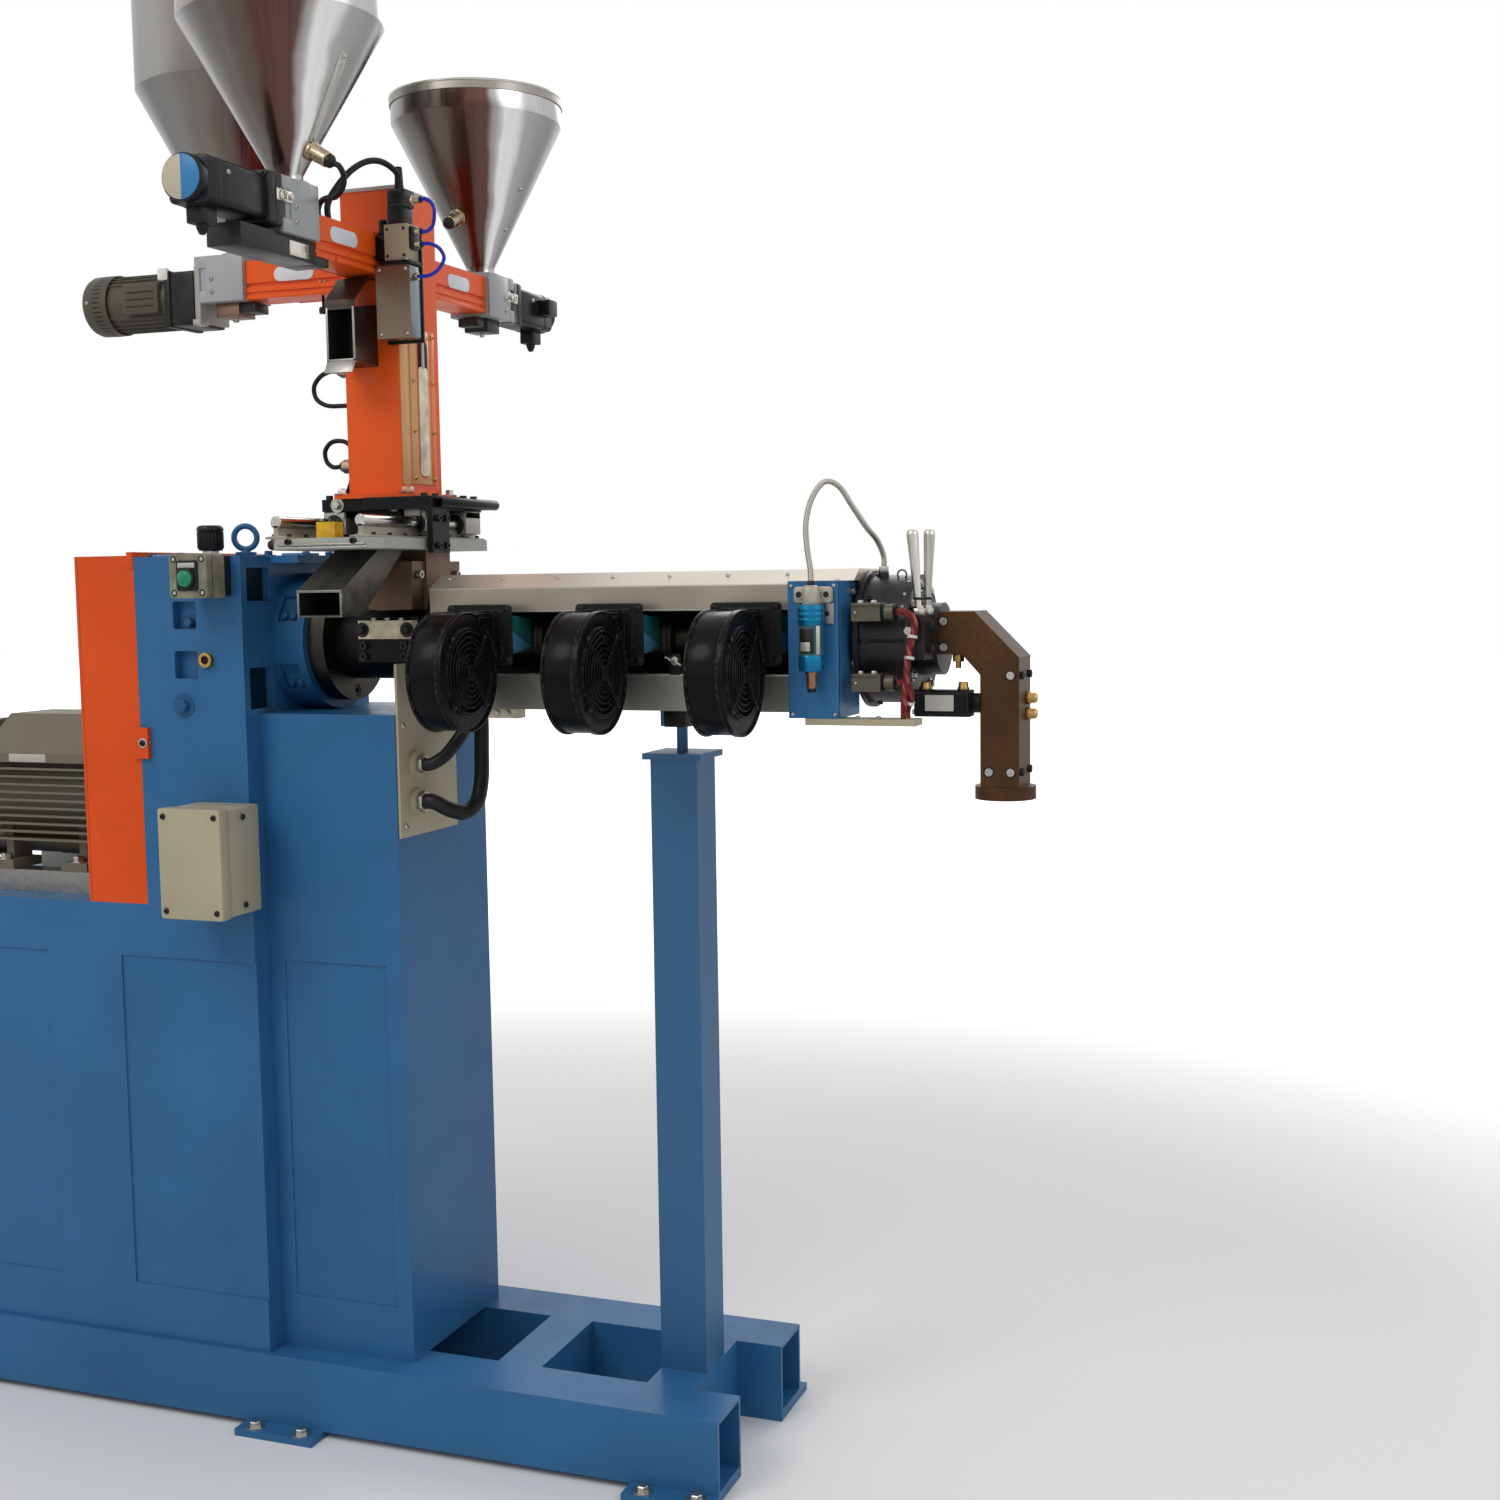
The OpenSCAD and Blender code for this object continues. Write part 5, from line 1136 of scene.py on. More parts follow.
head_parts.add(block((926.5, -99, axis_z - 3), (999.5, -97.2, axis_z + 3), 0.5), satin_black)
for y in (-79, 79):
    for z in (1352, 1318):
        head_parts.add(rod((1030, y, z), (1036, y, z), 15, 6), black_oxide)
head_parts.add(rod((1005, -109, 1345), (1005, -106, 1345), 13, 6), zinc)
handle_at = [aim((x, y, 1368)) for x, y in ((1015, -83), (1022, -60))]
head_parts.add(turned([(0, 10), (9, 10), (10, 8.5), (10, 0), (0, 0)], 0.4, 6), zinc, *handle_at)
head_parts.add(ring(4.8, 8, 22, 26, 0.5, 24), black_oxide, *handle_at)
for z in (1360, 1256):
    nut = turned([(0, 5), (4, 5), (5, 3.6), (5, 0), (0, 0)], 0.2, 6)
    head_parts.add(nut, zinc, *grid((938, 958), -126, z + 26))
    head_parts.add(block((926.4, -138, z + 22), (970.4, -100, z + 26.8), 0.8), terminal_grey)
    head_parts.add(button_screw(5, 2), zinc, aim((932, -136, z + 13), "-y"))
    head_parts.add(ring(6, 13.4, 0, 4, 0.8, 32), satin_black, aim((970.3, -120, z + 13), "x"))
    head_parts.add(ring(5.2, 12.6, 0, 3, 0.8, 32), satin_black, aim((987.6, -120, z + 13), "x"))
head_parts.add(ring(4.7, 8, 0, 9, 0.6, 6), zinc, aim(tap + Vector((0, 0, 0.2))))
white_tie = rubber("white_tie", (0.62, 0.60, 0.56), 0.4)
tie_parts = Piece("cable_ties")
tie_at = (
    ((1016.5, -124.2, 1337), (-0.15, -0.12, -1)),
    ((1012.6, -127.5, 1306), (-0.12, -0.1, -1)),
    ((1009.6, -118.5, 1239), (-0.35, 0.05, -1)),
)
for at, way in tie_at:
    tie_parts.add(ring(5, 7, -2.2, 2.2, 0.5, 24), white_tie, aim(at, way))
    tie_parts.add(block((-11, -4, -3), (-5.6, 4, 3), 0.8), white_tie, aim(at, way))
head_parts.fix("machine", "dark_steel")
tie_parts.fix("machine", "cream_paint")

# Melt adapter, outlet flange and valve. The bent adapter is sawn from thick plate that has run hot, and its
# screws are sunk in its faces. The bypass valve's cylinder is black, with a bare plate and brass fittings.
adapter_steel = browned("adapter_steel", (0.070, 0.036, 0.017), (0.125, 0.060, 0.028), 0.42, 6)
dress(adapter_steel, "melt_adapter", "outlet_flange")
dress(satin_black, "valve_cylinder")
adapter_parts = Piece("adapter_fittings")
sunk_xz = ((1042, 1357), (1042, 1318), (1144, 1276), (1144, 1131), (1111, 1131))
sunk = [aim((x, -42, z), "-y") for x, z in sunk_xz]
adapter_parts.add(ring(6, 8.5, 0, 0.5, 0.2, 24), black_oxide, *sunk)
adapter_parts.add(socket_screw(12, 1.6), zinc, *sunk)
adapter_parts.add(socket_screw(12, 5), black_oxide, *grid(1157, (-28, 28), (1276, 1131), "x"))
plug = [(0, 16), (6, 16), (8, 13), (8, 6), (10, 6), (10, 0), (0, 0)]
adapter_parts.add(turned(plug, 0.4, 20), brass, *grid(1157, 14, (1240, 1216), "x"))
drain = [(0, 22), (4.5, 22), (4.5, 12), (9, 12), (9, 0), (0, 0)]
adapter_parts.add(turned(drain, 0.4, 6), brass, aim((1060, -20, 1308), "-z"))
adapter_parts.add(block((1020, -69.2, 1224), (1064, -67.8, 1248), 0.4, 1), pale_plate)
adapter_parts.add(socket_screw(8, 4), zinc, *grid(1003, (-61, -35), (1222, 1248), "-x"))
adapter_parts.add(ring(13, 18, 0, 7, 1, 32), black_oxide, aim((1079, -38, 1235), "x"))
fitting = [(0, 12), (6, 12), (7.5, 10), (7.5, 4), (9, 4), (9, 0), (0, 0)]
adapter_parts.add(turned(fitting, 0.4, 20), brass, *grid((1016, 1074), -48, 1255))
adapter_parts.fix("machine", "dark_steel")

# Carriage with its bearings. A black milled plate rides on four light alloy bearing blocks with black seals,
# and its side clamp has a round handle bar. Socket screws hold the blocks from above.
alloy = metal("cast_alloy", (0.40, 0.385, 0.345), 0.4, scale=180, contrast=0.12, metallic=0.7)
dress(satin_black, "slide_carriage")
slide = Piece("bearing_blocks")
bearing_low, bearing_high = 1508.0, 1546.0
for x in rail_at:
    for y in (-73, 58):
        for side in (-1, 1):
            wall = block((x + side * 10.2, y + 2, bearing_low), (x + side * 21, y + 53, bearing_high), 1.2)
            slide.add(wall, alloy)
        slide.add(block((x - 21, y + 2, rail_z + 10.2), (x + 21, y + 53, bearing_high - 0.2), 1.2), alloy)
        for end in (y, y + 50):
            seal = ring(10.3, 17, 0, 5, 0.8, 40)
            slide.add(seal, rubber_black, aim((x, end, rail_z), "y"))
            plate = block((x - 19, end + 0.5, rail_z + 6), (x + 19, end + 4.5, bearing_high - 1), 0.8)
            slide.add(plate, alloy)
slide.fix("dosing_station", "alloy", "slide_bearings")
car_top = 1566.0
carriage_parts = Piece("carriage_fittings")
for x in rail_at:
    block_screws = grid((x - 13, x + 13), (-64, -28, 67, 103), car_top)
    carriage_parts.add(socket_screw(12, 7), black_oxide, *block_screws)
carriage_parts.add(hex_bolt(13, 7), zinc, *grid((128, 20), -75, 1556, "-y"))
carriage_parts.add(socket_screw(11, 7), black_oxide, *grid(215, (-90, -66), (1486, 1530), "x"))
carriage_parts.add(block((146, -76, 1535), (176, -60, 1548), 0.8), alloy)
handle = [(0, 190), (5, 190), (8.5, 186), (8.5, 6), (7, 3), (7, 0), (0, 0)]
carriage_parts.add(turned(handle, 0.6, 32), satin_black, aim((224, -92, 1556), "y"))
carriage_parts.add(block((213, -92, 1548), (227, -78, 1563), 1.5), satin_black)
carriage_parts.add(block((184, 78, 1548), (227, 92, 1563), 1.5), satin_black)
carriage_parts.fix("dosing_station", "black_paint")

# Dosing column. It is a welded sheet duct sprayed orange, with a pale cap plate, hex bolts through its foot
# and a black gusset. A tinted sight plate on six screws shows the cream granules behind its slot.
orange = enamel("orange_enamel", (0.80, 0.100, 0.010), 0.3, dirt=0.15)
dress(orange, "dosing_column")
cap_pale = enamel("pale_cap", (0.46, 0.45, 0.42), 0.4, dirt=0.15)
sight_tint = enamel("sight_tint", (0.66, 0.34, 0.15), 0.2, dirt=0.1, peel=0.02)
sight_orange = enamel("sight_orange", (0.76, 0.17, 0.04), 0.2, dirt=0.1, peel=0.02)
column_parts = Piece("column_fittings")
column_parts.add(block((35.6, -67.4, 2062.2), (140.4, 67.4, 2068.6), 0.8), cap_pale)
foot_at = [aim((x, y, column_z)) for x, y in ((27, -72), (27, 72), (149, 72), (149, -72))]
column_parts.add(hex_bolt(13, 8), zinc, *foot_at[:3])
column_parts.add(hex_bolt(13, 8), copper, foot_at[3])
gusset = [(19, column_z), (column_x0, column_z), (column_x0, 1618)]
column_parts.add(drawn(gusset, 26, 0.6), satin_black, aim((0, -26, 0), "-y"))
column_parts.add(block((36.6, -64, column_z), (38.4, 64, 2062), 0.3, 1), orange)
column_parts.add(rounded((138, -62, 1577), (143, -36, 1585), 0, 2, 0.6), zinc)
column_parts.fix("dosing_station", "orange_paint")
granules = rubber("granules", (0.62, 0.57, 0.44), 0.6)
sight = Piece("sight_plate")
sight.add(block((137.9, -34, 1590), (141, 28, 1844), 0.5), sight_tint)
sight.add(block((137.6, -63, 1588), (139.4, -34, 1846), 0.4), sight_tint)
sight.add(block((137.9, 28, 1590), (141, 46, 1844), 0.5), sight_orange)
sight.add(rounded((140.4, -13, 1601), (141.8, 24, 1834), 0, 17, 0.3), sight_orange)
# The slot's black field is painted shade in the empty column above the granules.
sight.add(rounded((140.6, -10, 1604), (142.2, 21, 1831), 0, 15, 0.2), painted_shade_black)
sight.add(rounded((140.8, -9.5, 1604.5), (142.5, 20.5, 1784), 0, 8, 0.3), granules)
sight.add(rod((142, 5, 1782), (142, 5, 1826), 7, 12), machined)
sight.add(button_screw(8, 3.4), brass, *grid(141, (-26, 38), (1600, 1678, 1760, 1836), "x"))
sight.fix("dosing_station", "cream_paint", "sight_strip")
nickel = metal("nickel_brass", (0.50, 0.40, 0.27), 0.22, scale=100, contrast=0.15)
sensors = Piece("level_probes")
for z in (1625.0, 1785.0):
    at = aim((column_x0, 0, z), "-x")
    body = [(0, 49), (11, 49), (12.4, 47), (12.4, 6), (17, 4), (17, 0), (0, 0)]
    sensors.add(turned(body, 0.5), nickel, at)
    sensors.add(ring(12.2, 13, 30, 32, 0.3, 40), zinc, at)
    boot = [(0, 58), (4.6, 58), (6, 56), (9, 53), (9.6, 48), (0, 48)]
    sensors.add(turned(boot, 0.5), rubber_black, at)
hopper_probes = [
    aim((132.6, -293, 2076), (0.866, 0, -0.5)),
    aim((82.2, 253.6, 2078), (-0.0777, -0.8886, -0.4524)),
]
for at in hopper_probes:
    body = [(0, 34), (11, 34), (12, 33), (12, 6), (15.5, 5), (15.5, 0), (0, 0)]
    sensors.add(turned(body, 0.5), nickel, at)
    sensors.add(ring(11.8, 12.6, 14, 16, 0.3, 40), zinc, at)
    boot = [(0, 46), (4.7, 46), (7, 44), (10.4, 40), (10.8, 33.5), (0, 33.5)]
    sensors.add(turned(boot, 0.5), rubber_black, at)
sensors.fix("dosing_station", "brass", "level_sensors")

# Valve cover and air valve at the column's front. A brushed steel box on a black plate covers the gate, and
# above it sits the cream solenoid valve with its black coil, dark connector and push-in fittings.
box_steel = metal("box_steel", (0.23, 0.175, 0.125), 0.3, (90, 90, 4), 20, 0.3, metallic=0.85)
blue_steel = metal("blue_steel", (0.24, 0.30, 0.33), 0.22, (1, 1, 0.1), 12, 0.4, depth=0.00002)
valve_cream = enamel("valve_cream", (0.36, 0.30, 0.21), 0.42, dirt=0.2, peel=0.05)
dress(box_steel, "valve_cover")
valve_parts = Piece("valve_fittings")
valve_parts.add(block((121.6, -70.4, 1813.6), (188.4, -65, 1994.4), 0.8), satin_black)
valve_parts.add(block((185.4, -103.5, 1820), (186.6, -71, 1932), 0.4), blue_steel)
valve_parts.add(button_screw(7, 2.6), zinc, *grid((131, 179), -105, (1825, 1927), "-y"))
valve_parts.add(rounded((136, -110, 1934), (188, -68, 1940.2), 2, 3, 0.8), satin_black)
valve_parts.add(button_screw(7, 3), zinc, aim((183, -108, 1940)))
valve_parts.add(block((118, -96, 1946), (140, -70, 1984), 2), satin_black)
stem = [(0, 26), (5, 26), (7, 24), (7, 8), (9, 8), (9, 0), (0, 0)]
valve_parts.add(turned(stem, 0.4, 24), satin_black, aim((128, -83, 1984)))
valve_parts.fix("dosing_station", "black_paint")
coil_grey = rubber("coil_grey", (0.030, 0.031, 0.036), 0.4)
air = Piece("solenoid_valve")
air.add(block((142, -106, 1940), (184, -70, 1998), 1.4), valve_cream)
dots = grid((148, 178), -106, (1948, 1990), "-y")
air.add(turned([(0, 0.6), (2.6, 0.6), (2.6, 0), (0, 0)], 0, 16), black_oxide, *dots)
air.add(rounded((146, -104, 1997), (178, -72, 2026), 2, 5, 1.2), rubber_black)
air.add(rounded((149, -106, 2025), (182, -74, 2052), 2, 3, 1.4), coil_grey)
air.add(block((151, -107, 2030), (175, -105.4, 2046), 0.6), rubber_black)
lead_boot = turned([(0, 14), (6.4, 14), (7.6, 11), (8, 0), (0, 0)], 0.5, 24)
air.add(lead_boot, rubber_black, aim((valve_x, valve_y, 2050)))
for z, long in ((port_high, 18), (port_mid, 16), (port_low, 16)):
    start = aim((200 - long, valve_y, z), "x")
    push_in = [(0, long), (4.2, long), (5.2, long - 2), (5.4, 5), (7.4, 4), (7.4, -3), (0, -3)]
    air.add(turned(push_in, 0.4, 20), nickel, start)
    air.add(ring(3.1, 5.6, long - 1, long + 1.8, 0.4, 20), rubber_black, start)
air.add(ring(3.1, 6, 0, 6, 0.5, 20), nickel, aim((186.5, valve_y, cover_port), "x"))
air.add(rounded((184, -100, 1958), (190, -76, 1994), 0, 4, 1), rubber_black)
air.fix("dosing_station", "cream_paint", "air_valve")
lead_sleeve = Piece("lead_sleeve")
sleeve = turned([(4.9, 0), (7, 0), (6.4, 14), (5.6, 26), (4.9, 27), (4.9, 0)], 0.3, 24)
lead_sleeve.add(sleeve, rubber_black, aim((valve_x, valve_y, 2063)))
lead_sleeve.fix("dosing_station", "black_plastic")

# Sampling spout and purge chute. The spout is a short folded steel duct, open at the front, welded under the
# arms to the column, with a hemmed rim round its mouth. The chute hangs under the slide plate's purge hole.
# The spout's brown clouds are a painted reflection on its dark steel.
spout_steel = browned("spout_steel", (0.060, 0.055, 0.050), (0.130, 0.095, 0.072), 0.3, 9)
chute_steel = metal("chute_steel", (0.125, 0.118, 0.108), 0.36, (1, 1, 1), 40, 0.45, metallic=0.85)
dress(spout_steel, "sampling_spout")
dress(chute_steel, "purge_chute")
rims = Piece("spout_rim")
for x0, x1, z1 in ((47.6, 51.4, 1869), (96.6, 100.4, 1869), (47.6, 100.4, 1786.6)):
    rims.add(block((x0, -135.6, 1783), (x1, -133, z1), 0.5), machined)
hood = [(-1921, -68), (-1921, -92), (-1880, -135), (-1868, -135)]
hood += [(-1868, -133), (-1879, -133), (-1919, -90), (-1919, -68)]
rims.add(drawn(hood, 56, 0.4), spout_steel, aim((46, 0, 0), "x"))
tongue = [(-1783, -126), (-1783, -136), (-1764, -146), (-1763, -144), (-1781, -134), (-1781, -126)]
rims.add(drawn(tongue, 52, 0.3), machined, aim((48, 0, 0), "x"))
rims.fix("dosing_station", "grey_steel")
sawn_edge = metal("sawn_edge", (0.24, 0.235, 0.22), 0.34, scale=120, contrast=0.3)
lips = Piece("chute_rim")
for x0, x1 in ((59.5, 63.4), (136.6, 140.5)):
    lips.add(block((x0, -263, 1374), (x1, -260, 1416), 0.6), sawn_edge)
lips.add(block((59.5, -264, 1412.4), (140.5, -260, 1416.6), 0.6), sawn_edge)
lips.fix("machine", "grey_steel")

# Dosing units on their arms. Each arm is an extruded profile sprayed orange with a bare oval plate. It ends
# in an alloy dosing block, with a black servo at the front and rear and a ribbed geared motor at the left.
dress(orange, "dosing_arms")
block_alloy = enamel("block_grey", (0.36, 0.375, 0.385), 0.32, dirt=0.12, peel=0.05)
dark_slab = enamel("slab_grey", (0.030, 0.029, 0.030), 0.28, dirt=0.2, peel=0.05)
servo_black = enamel("servo_black", (0.010, 0.011, 0.013), 0.34, dirt=0.2, peel=0.08)
disc_pale = enamel("disc_pale", (0.47, 0.41, 0.32), 0.35, peel=0.03, dirt=0.1)
disc_blue = enamel("disc_blue", (0.030, 0.19, 0.42), 0.3, peel=0.03, dirt=0.1)
oval_pale = enamel("oval_pale", (0.66, 0.68, 0.72), 0.3, peel=0.03, dirt=0.06)
geared_olive = enamel("geared_olive", (0.078, 0.071, 0.052), 0.42, dirt=0.3)
warm_steel = browned("warm_steel", (0.16, 0.10, 0.075), (0.34, 0.20, 0.15), 0.3, 12)
unit_at = [Matrix.Translation((88, 0, 0)) @ spun(turn) for turn in (180, 90, 0)]
arm_z = (1957.0, 1942.0, 1942.0)
ways = {-1: "-x", 1: "x"}


def oval(long, high):
    """A flat plate with round ends."""
    r, reach = high / 2, (long - high) / 2
    turns = [math.radians(15 * k - 90) for k in range(13)]
    right = [(reach + r * math.cos(a), r * math.sin(a)) for a in turns]
    return drawn(right + [(-x, -y) for x, y in right], 1.2, 0.3)


arm_parts = Piece("arm_fittings")
for k, y, high in ((0, 190, 9), (1, 165, 6), (2, 176, 6)):
    faces = [unit_at[k] @ aim((side * 32, y, arm_z[k] + high), ways[side]) @ spun(90) for side in (-1, 1)]
    arm_parts.add(oval(78, 24), oval_pale, *faces)
for k, start in ((0, 65), (1, 50), (2, 65)):
    collar = rounded((-35, start, arm_z[k] - 35), (35, start + 5, arm_z[k] + 35), 1, 3, 0.8)
    arm_parts.add(collar, orange, unit_at[k])
    screws = grid((-26, 26), start + 5, (arm_z[k] - 27, arm_z[k] + 27), "y")
    arm_parts.add(button_screw(7, 2.8), zinc, *[unit_at[k] @ screw for screw in screws])
    for x in (-35, 32):
        ledge = rounded((x, start + 6, arm_z[k] - 33), (x + 3, start + 150, arm_z[k] - 26), 0, 2, 0.6)
        arm_parts.add(ledge, orange, unit_at[k])
label_screws = [unit_at[1] @ at for at in grid(-32, (105, 114), arm_z[1] - 11, "-x")]
arm_parts.add(button_screw(5, 2), zinc, *label_screws)
thumb = [(0, 30), (6.5, 30), (7.5, 28), (7.5, 21), (6, 19), (2.6, 19), (2.6, 0), (0, 0)]
arm_parts.add(turned(thumb, 0.4, 24), black_oxide, unit_at[1] @ aim((-14, 121, arm_z[1] - 32), "-z"))
arm_parts.fix("dosing_station", "orange_paint")

blocks = Piece("dosing_units")
unit_sizes = ((36, 267, 26, 1946, 2028), (38, 262, 28, 1909, 1987), (38, 277, 43, 1904, 1982))
for k, (half, start, neck, low, high) in enumerate(unit_sizes):
    here = unit_at[k]
    blocks.add(block((-half, start, low), (half, start + 88, high), 1.6), block_alloy, here)
    blocks.add(ring(26, 34, 0, 5, 0.8, 40), block_alloy, here @ aim((0, start + neck, high - 1.5)))
    for side in (-1, 1):
        skin = side * (half + 2.5)
        cheek = block((side * (half - 1), start - 0.5, low), (skin, start + 74, high), 0.8)
        blocks.add(cheek, block_alloy, here)
        for z in (low, high - 20):
            tab = block((side * (half - 2), start + 73, z), (skin, start + 96, z + 20), 0.8)
            blocks.add(tab, block_alloy, here)
        for z in ((low + high) / 2 - 22, (low + high) / 2):
            blocks.add(button_screw(8, 3.4), zinc, here @ aim((skin, start + 62, z), ways[side]))
    if k == 0:
        blocks.add(block((-30, start, low - 34), (30, start + 190, low - 0.5), 1.4), dark_slab, here)
        blocks.add(block((-30, start - 36, low - 34), (30, start + 1, 1924.7), 1.2), dark_slab, here)
        blocks.add(block((-27, start - 37, low - 32), (27, start - 35.4, 1923), 0.4), block_alloy, here)
        strip = block((-31.5, start + 20, low - 30), (-29.5, start + 70, low - 8), 0.8)
        blocks.add(strip, bright_steel, here)
    else:
        underside = warm_steel if k == 1 else dark_slab
        blocks.add(block((-24, start + 20, low - 24), (24, start + 66, low + 1), 1.4), underside, here)
        blocks.add(block((-20, start - 10, low - 18), (20, start + 20, low - 2), 1.4), dark_slab, here)
        blocks.add(hex_bolt(9, 5), zinc, here @ aim((0, start + 43, low - 24), "-z"))
blocks.fix("dosing_station", "alloy", "dosing_blocks")

servos = Piece("servo_motors")
half_turn = [math.radians(t) for t in range(180, -1, -9)]
half_disc = [(31 * math.sin(a), 31 * math.cos(a)) for a in half_turn]
for k, start, z in ((0, 355.0, 1991.0), (2, 365.0, 1941.0)):
    here = unit_at[k]
    servos.add(rounded((-38, start, z - 38), (38, start + 24, z + 38), 1, 4, 1.2), dark_slab, here)
    servos.add(rounded((-38, start + 25, z - 38), (38, start + 42, z + 38), 1, 4, 1.2), black_oxide, here)
    servos.add(rounded((-33, start + 42, z - 33), (33, start + 180, z + 33), 1, 9, 1.4), servo_black, here)
    band = rounded((-33.6, start + 150, z - 33.6), (33.6, start + 153, z + 33.6), 1, 9, 0.8)
    servos.add(band, servo_black, here)
    end_bell = turned([(0, 16), (31.5, 16), (34, 13.5), (34, 0), (0, 0)], 0.6, 64)
    servos.add(end_bell, servo_black, here @ aim((0, start + 180, z), "y"))
    end = here @ aim((0, start + 196, z), "y")
    for tone, turn in ((disc_blue, 180), (disc_pale, 0)):
        servos.add(drawn(half_disc, 0.7, 0.1), tone if k == 0 else servo_black, end @ spun(turn))
    servos.add(rounded((32, start + 118, z - 10), (58, start + 154, z + 20), 0, 5, 1.6), servo_black, here)
    servos.add(rounded((-15, start + 134, z - 58), (15, start + 170, z - 32), 2, 5, 1.6), servo_black, here)
    gland = turned([(0, 14), (4, 14), (5, 12), (8, 6), (9, 0), (0, 0)], 0.5, 24)
    servos.add(gland, servo_black, here @ aim((0, start + 152, z - 58), "-z"))
    for place in (aim((-33, start + 132, z + 16), "-x"), aim((33, start + 100, z + 16), "x")):
        servos.add(button_screw(8, 3), zinc, here @ place)
    screws = grid((-32, 32), start + 42, (z - 32, z + 32), "y")
    servos.add(socket_screw(8, 4), black_oxide, *[here @ screw for screw in screws])
    side = -1 if k == 0 else 1
    way = ways[side]
    strap_x = side * 38
    strap = rounded((strap_x - 2, start - 16, z - 2), (strap_x + 2, start + 24, z + 15), 0, 2, 0.5)
    servos.add(strap, bright_steel, here)
    servos.add(wire_ring(7.5, 2.6, 24), bright_steel, here @ aim((side * 42, start + 8, z + 6), way))
    pin = turned([(0, 7), (3.6, 7), (4, 6), (4, 0), (0, 0)], 0.3, 16)
    servos.add(pin, bright_steel, here @ aim((side * 39, start - 8, z + 6), way))
geared = Piece("geared_motor")
start, mid_z = 350.0, 1921.0
here = unit_at[1]
housing_at = here @ aim((0, start + 66, mid_z), "y")
cowl_at = here @ aim((0, start + 196, mid_z), "y")
gear_case = rounded((-44, start + 9, mid_z - 48), (44, start + 66, mid_z + 44), 1, 6, 1.6)
geared.add(gear_case, rubber_black, here)
case_rim = rounded((-47, start + 56, mid_z - 50), (47, start + 67, mid_z + 46), 1, 5, 1.6)
geared.add(case_rim, black_oxide, here)
geared.add(rounded((-41, start - 2, mid_z - 44), (41, start + 9, mid_z + 52), 1, 3, 1), light_grey, here)
geared.add(rounded((-50, start - 8, mid_z - 50), (-26, start + 8, mid_z - 40), 1, 2, 1), light_grey, here)
housing = turned([(0, 131), (44, 131), (46, 129), (46, 0), (0, 0)], 0.5, 64)
geared.add(housing, geared_olive, housing_at)
for t in range(0, 360, 12):
    if not 150 < t < 210:
        fin = block((44, -1, 3), (49.5, 1, 124), 0.5, 1)
        geared.add(fin, geared_olive, housing_at @ spun(t))
terminals = rounded((-54, start + 76, mid_z - 24), (-30, start + 150, mid_z + 26), 0, 5, 1.6)
geared.add(terminals, geared_olive, here)
for dz in (-12, 0, 12):
    slot = block((-54.8, start + 84, mid_z + dz - 1.2), (-53.6, start + 142, mid_z + dz + 1.2), 0.3, 1)
    geared.add(slot, black_oxide, here)
cowl = [(0, 46), (40, 46), (49, 42), (52, 35), (52, -8), (50.5, -9), (50.5, -4), (0, -4)]
geared.add(turned(cowl, 0.6, 64), geared_olive, cowl_at)
for t in range(0, 360, 9):
    geared.add(block((50.8, -1.4, 3), (52.3, 1.4, 20), 0.3, 1), black_oxide, cowl_at @ spun(t))
geared.add(button_screw(7, 2.6), zinc, here @ aim((-52, start + 226, mid_z), "-x"))
geared.add(rounded((-49, start + 58, mid_z + 30), (-41, start + 78, mid_z + 50), 0, 3, 1), white_tie, here)
geared.fix("dosing_station", "motor_paint")
servos.fix("dosing_station", "motor_paint", "dosing_motors")

# Hoppers and lids. Each is rolled from stainless sheet with a lap seam at the back and a rolled rim, and
# stands on a welded stub. A loose domed lid with a black knob closes it.


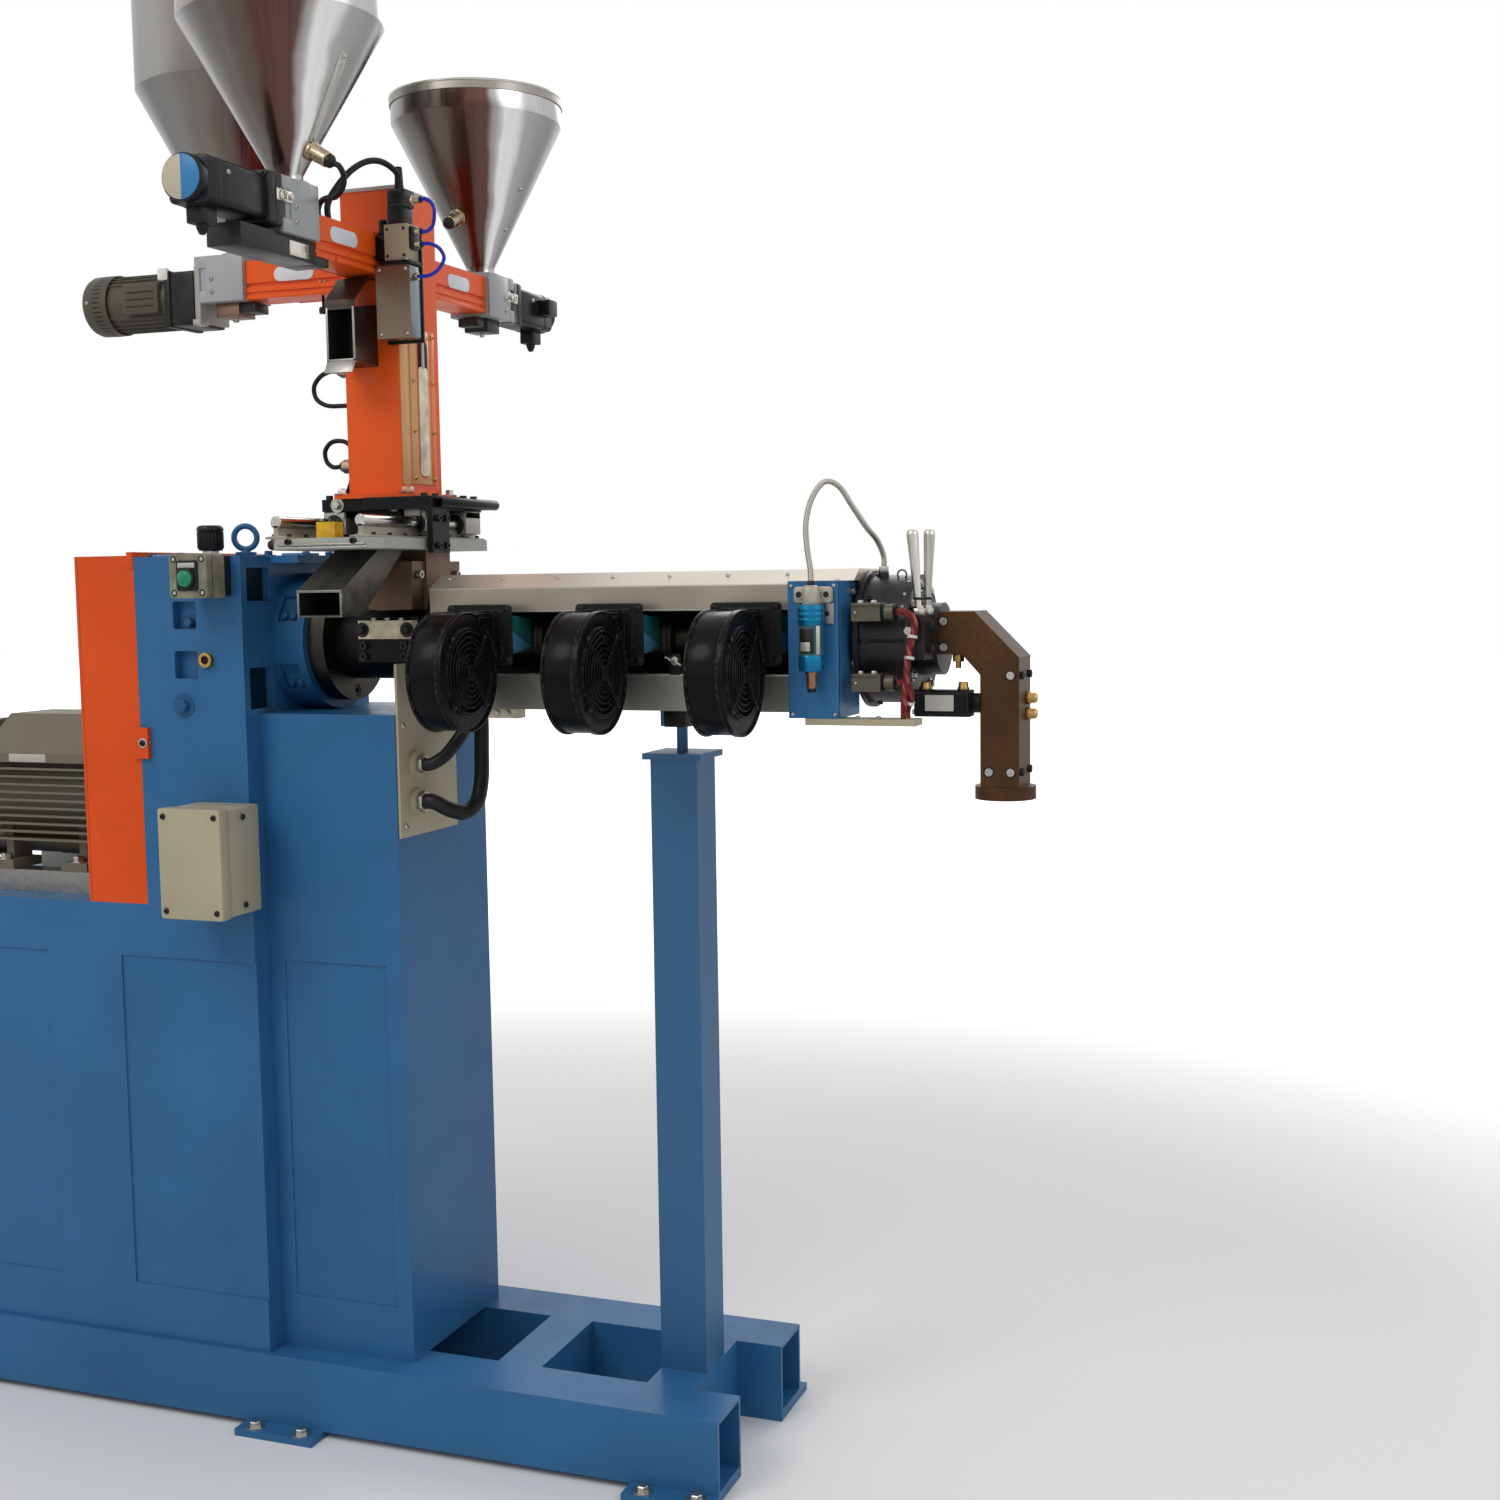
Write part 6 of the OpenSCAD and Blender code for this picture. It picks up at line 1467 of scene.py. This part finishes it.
def reflection_banded_steel(name, x, y, reflection_turn=0.0):
    """Sheet rolled about an upright axis, with painted reflections: bands of tone and a white highlight run
    up its side and meet at the foot.
    """
    made, tree, principled = shader(name, (0.4, 0.38, 0.35), 0.2, Metallic=1.0)
    place = link(tree, "TexCoord")
    centred = link(tree, "VectorMath", {0: place.outputs["Object"], 1: (x, y, 0)}, operation="SUBTRACT")
    flat = link(tree, "VectorMath", {0: centred.outputs[0], 1: (1, 1, 0)}, operation="MULTIPLY")
    round_it = link(tree, "VectorMath", {0: flat.outputs[0]}, operation="NORMALIZE")
    streaks = link(tree, "TexNoise", {"Vector": round_it.outputs[0], "Scale": 26, "Detail": 4})
    sway = link(tree, "TexNoise", {"Vector": place.outputs["Object"], "Scale": 9})
    around = link(tree, "TexGradient", {"Vector": centred.outputs[0]}, gradient_type="RADIAL")
    wave = spread(tree, sway.outputs["Fac"], reflection_turn - 0.012, reflection_turn + 0.012)
    moved = link(tree, "Math", {0: around.outputs["Fac"], 1: wave}, operation="ADD")
    reflection_ramp = link(tree, "ValToRGB", {"Fac": moved.outputs[0]})
    # Painted reflections of the surroundings: dark and maroon bands and a white painted highlight band.
    reflection_stops = [
        (0, (0.10, 0.10, 0.11)), (0.15, (0.34, 0.33, 0.32)), (0.215, (0.22, 0.20, 0.18)),
        (0.27, (0.14, 0.11, 0.10)), (0.31, (0.12, 0.055, 0.048)), (0.37, (0.13, 0.065, 0.055)),
        (0.39, (0.46, 0.44, 0.42)), (0.41, (1, 1, 1)), (0.435, (1, 1, 1)), (0.455, (0.56, 0.55, 0.54)),
        (0.52, (0.42, 0.415, 0.41)), (0.60, (0.30, 0.30, 0.32)), (0.72, (0.62, 0.60, 0.57)),
        (0.85, (0.24, 0.22, 0.20)),
    ]
    reflection_ramp.color_ramp.interpolation = "EASE"
    for n, (at, tone) in enumerate(reflection_stops):
        stop = reflection_ramp.color_ramp.elements[n] if n < 2 else reflection_ramp.color_ramp.elements.new(at)
        stop.position = at
        stop.color = (*tone, 1)
    streak = spread(tree, streaks.outputs["Fac"], 0, 0.14)
    feed(principled, "Base Color", blend_tone(tree, streak, reflection_ramp.outputs["Color"], (0.30, 0.27, 0.24)))
    feed(principled, "Roughness", spread(tree, streaks.outputs["Fac"], 0.17, 0.29))
    relief(tree, principled, streaks.outputs["Fac"], 0.1, 0.0002)
    return made


seam_steel = metal("seam_steel", (0.60, 0.58, 0.54), 0.2, (1, 1, 0.1), 60, 0.1)
hoppers = (
    ("front", 0, 293, 2028, 306, 222, 120),
    ("left", 1, 290, 1987, 326, 256, 230),
    ("rear", 2, 320, 1982, 306, 252, 45),
)
for name, k, y, foot, wide, cone, drum in hoppers:
    r, up, rim_z = wide / 2, 14 + cone, 14 + cone + drum
    middle = unit_at[k] @ Matrix.Translation((0, y, foot))
    axis = middle.translation
    # Each hopper's painted reflection bands are turned a little about its axis.
    sheet = reflection_banded_steel(f"hopper_{name}_steel", axis.x / 1000, axis.y / 1000, (0.0, -0.06, 0.02)[k])
    shell = Piece(f"hopper_{name}_shell")
    outside = [(25, 0), (25, 13), (26, 15.5), (r - 1, up - 1.5), (r, up + 1), (r, rim_z - 2)]
    inside = [(r - 2, rim_z - 2), (r - 2, up + 2), (r - 3, up), (24, 16), (23, 14), (23, 0), (25, 0)]
    shell.add(turned(outside + inside, 0, 96, 40), sheet, middle)
    shell.add(wire_ring(r - 0.6, 4.4, 96), seam_steel, middle @ lift(rim_z - 3))
    shell.add(ring(24, 30, 0, 4, 0.8, 48), seam_steel, middle)
    slant = math.hypot(r - 25, cone)
    lean = Matrix.Translation((25, 0, 14)) @ Matrix.Rotation(math.atan2(r - 25, cone), 4, "Y")
    back = Matrix.Translation(axis) @ spun(142)
    shell.add(block((-0.6, -8, 4), (1.1, 8, slant - 3), 0.4, 1), sheet, back @ lean)
    shell.add(block((r - 0.6, -8, up + 2), (r + 1.1, 8, rim_z - 5), 0.4, 1), sheet, back)
    rivet = turned([(0, 1.8), (2, 1.4), (3, 0)], 0, 12)
    shell.add(rivet, zinc, *[back @ lean @ aim((0.9, 0, 22 + 42 * n), "x") for n in range(int(slant // 42))])
    flank = Matrix.Translation(axis) @ spun(-8) @ lean
    if name == "front":
        shell.add(rounded((-0.6, -6, 52), (4.2, 6, 178), 2, 2, 0.8), seam_steel, flank)
        shell.add(block((-0.6, -7, 40), (1.2, 7, 190), 0.5, 1), seam_steel, flank)
        shell.add(button_screw(6, 2.4), zinc, *[flank @ aim((1.2, 0, z), "x") for z in (46, 184)])
    else:
        shell.add(button_screw(8, 2.8), zinc, *[flank @ aim((0, 0, z), "x") for z in (72, 148)])
    shell.fix("dosing_station", "stainless", f"hopper_{name}")
lid_steel = metal("lid_steel", (0.33, 0.31, 0.28), 0.3, scale=20, contrast=0.15, depth=0.00002)
lids = Piece("hopper_lid_covers")
for name, k, y, foot, wide, cone, drum in hoppers:
    r = wide / 2 + 0.3
    top = unit_at[k] @ Matrix.Translation((0, y, foot + 14 + cone + drum))
    dome = [((r + 2) * i / 8, 3 + 12 * (1 - i * i / 64)) for i in range(9)]
    lids.add(turned(dome + [(r + 2, -14), (r, -14), (r, 0), (0, 0)], 0, 96, 50), lid_steel, top)
    lids.add(wire_ring(r + 1, 4, 96), seam_steel, top @ lift(0.6))
    knob = [(0, 31), (16, 31), (21, 28), (22, 23), (19, 19), (13, 16), (13, 13), (0, 13)]
    lids.add(turned(knob, 0.5, 40), rubber_black, top)
lids.fix("dosing_station", "stainless", "hopper_lids")
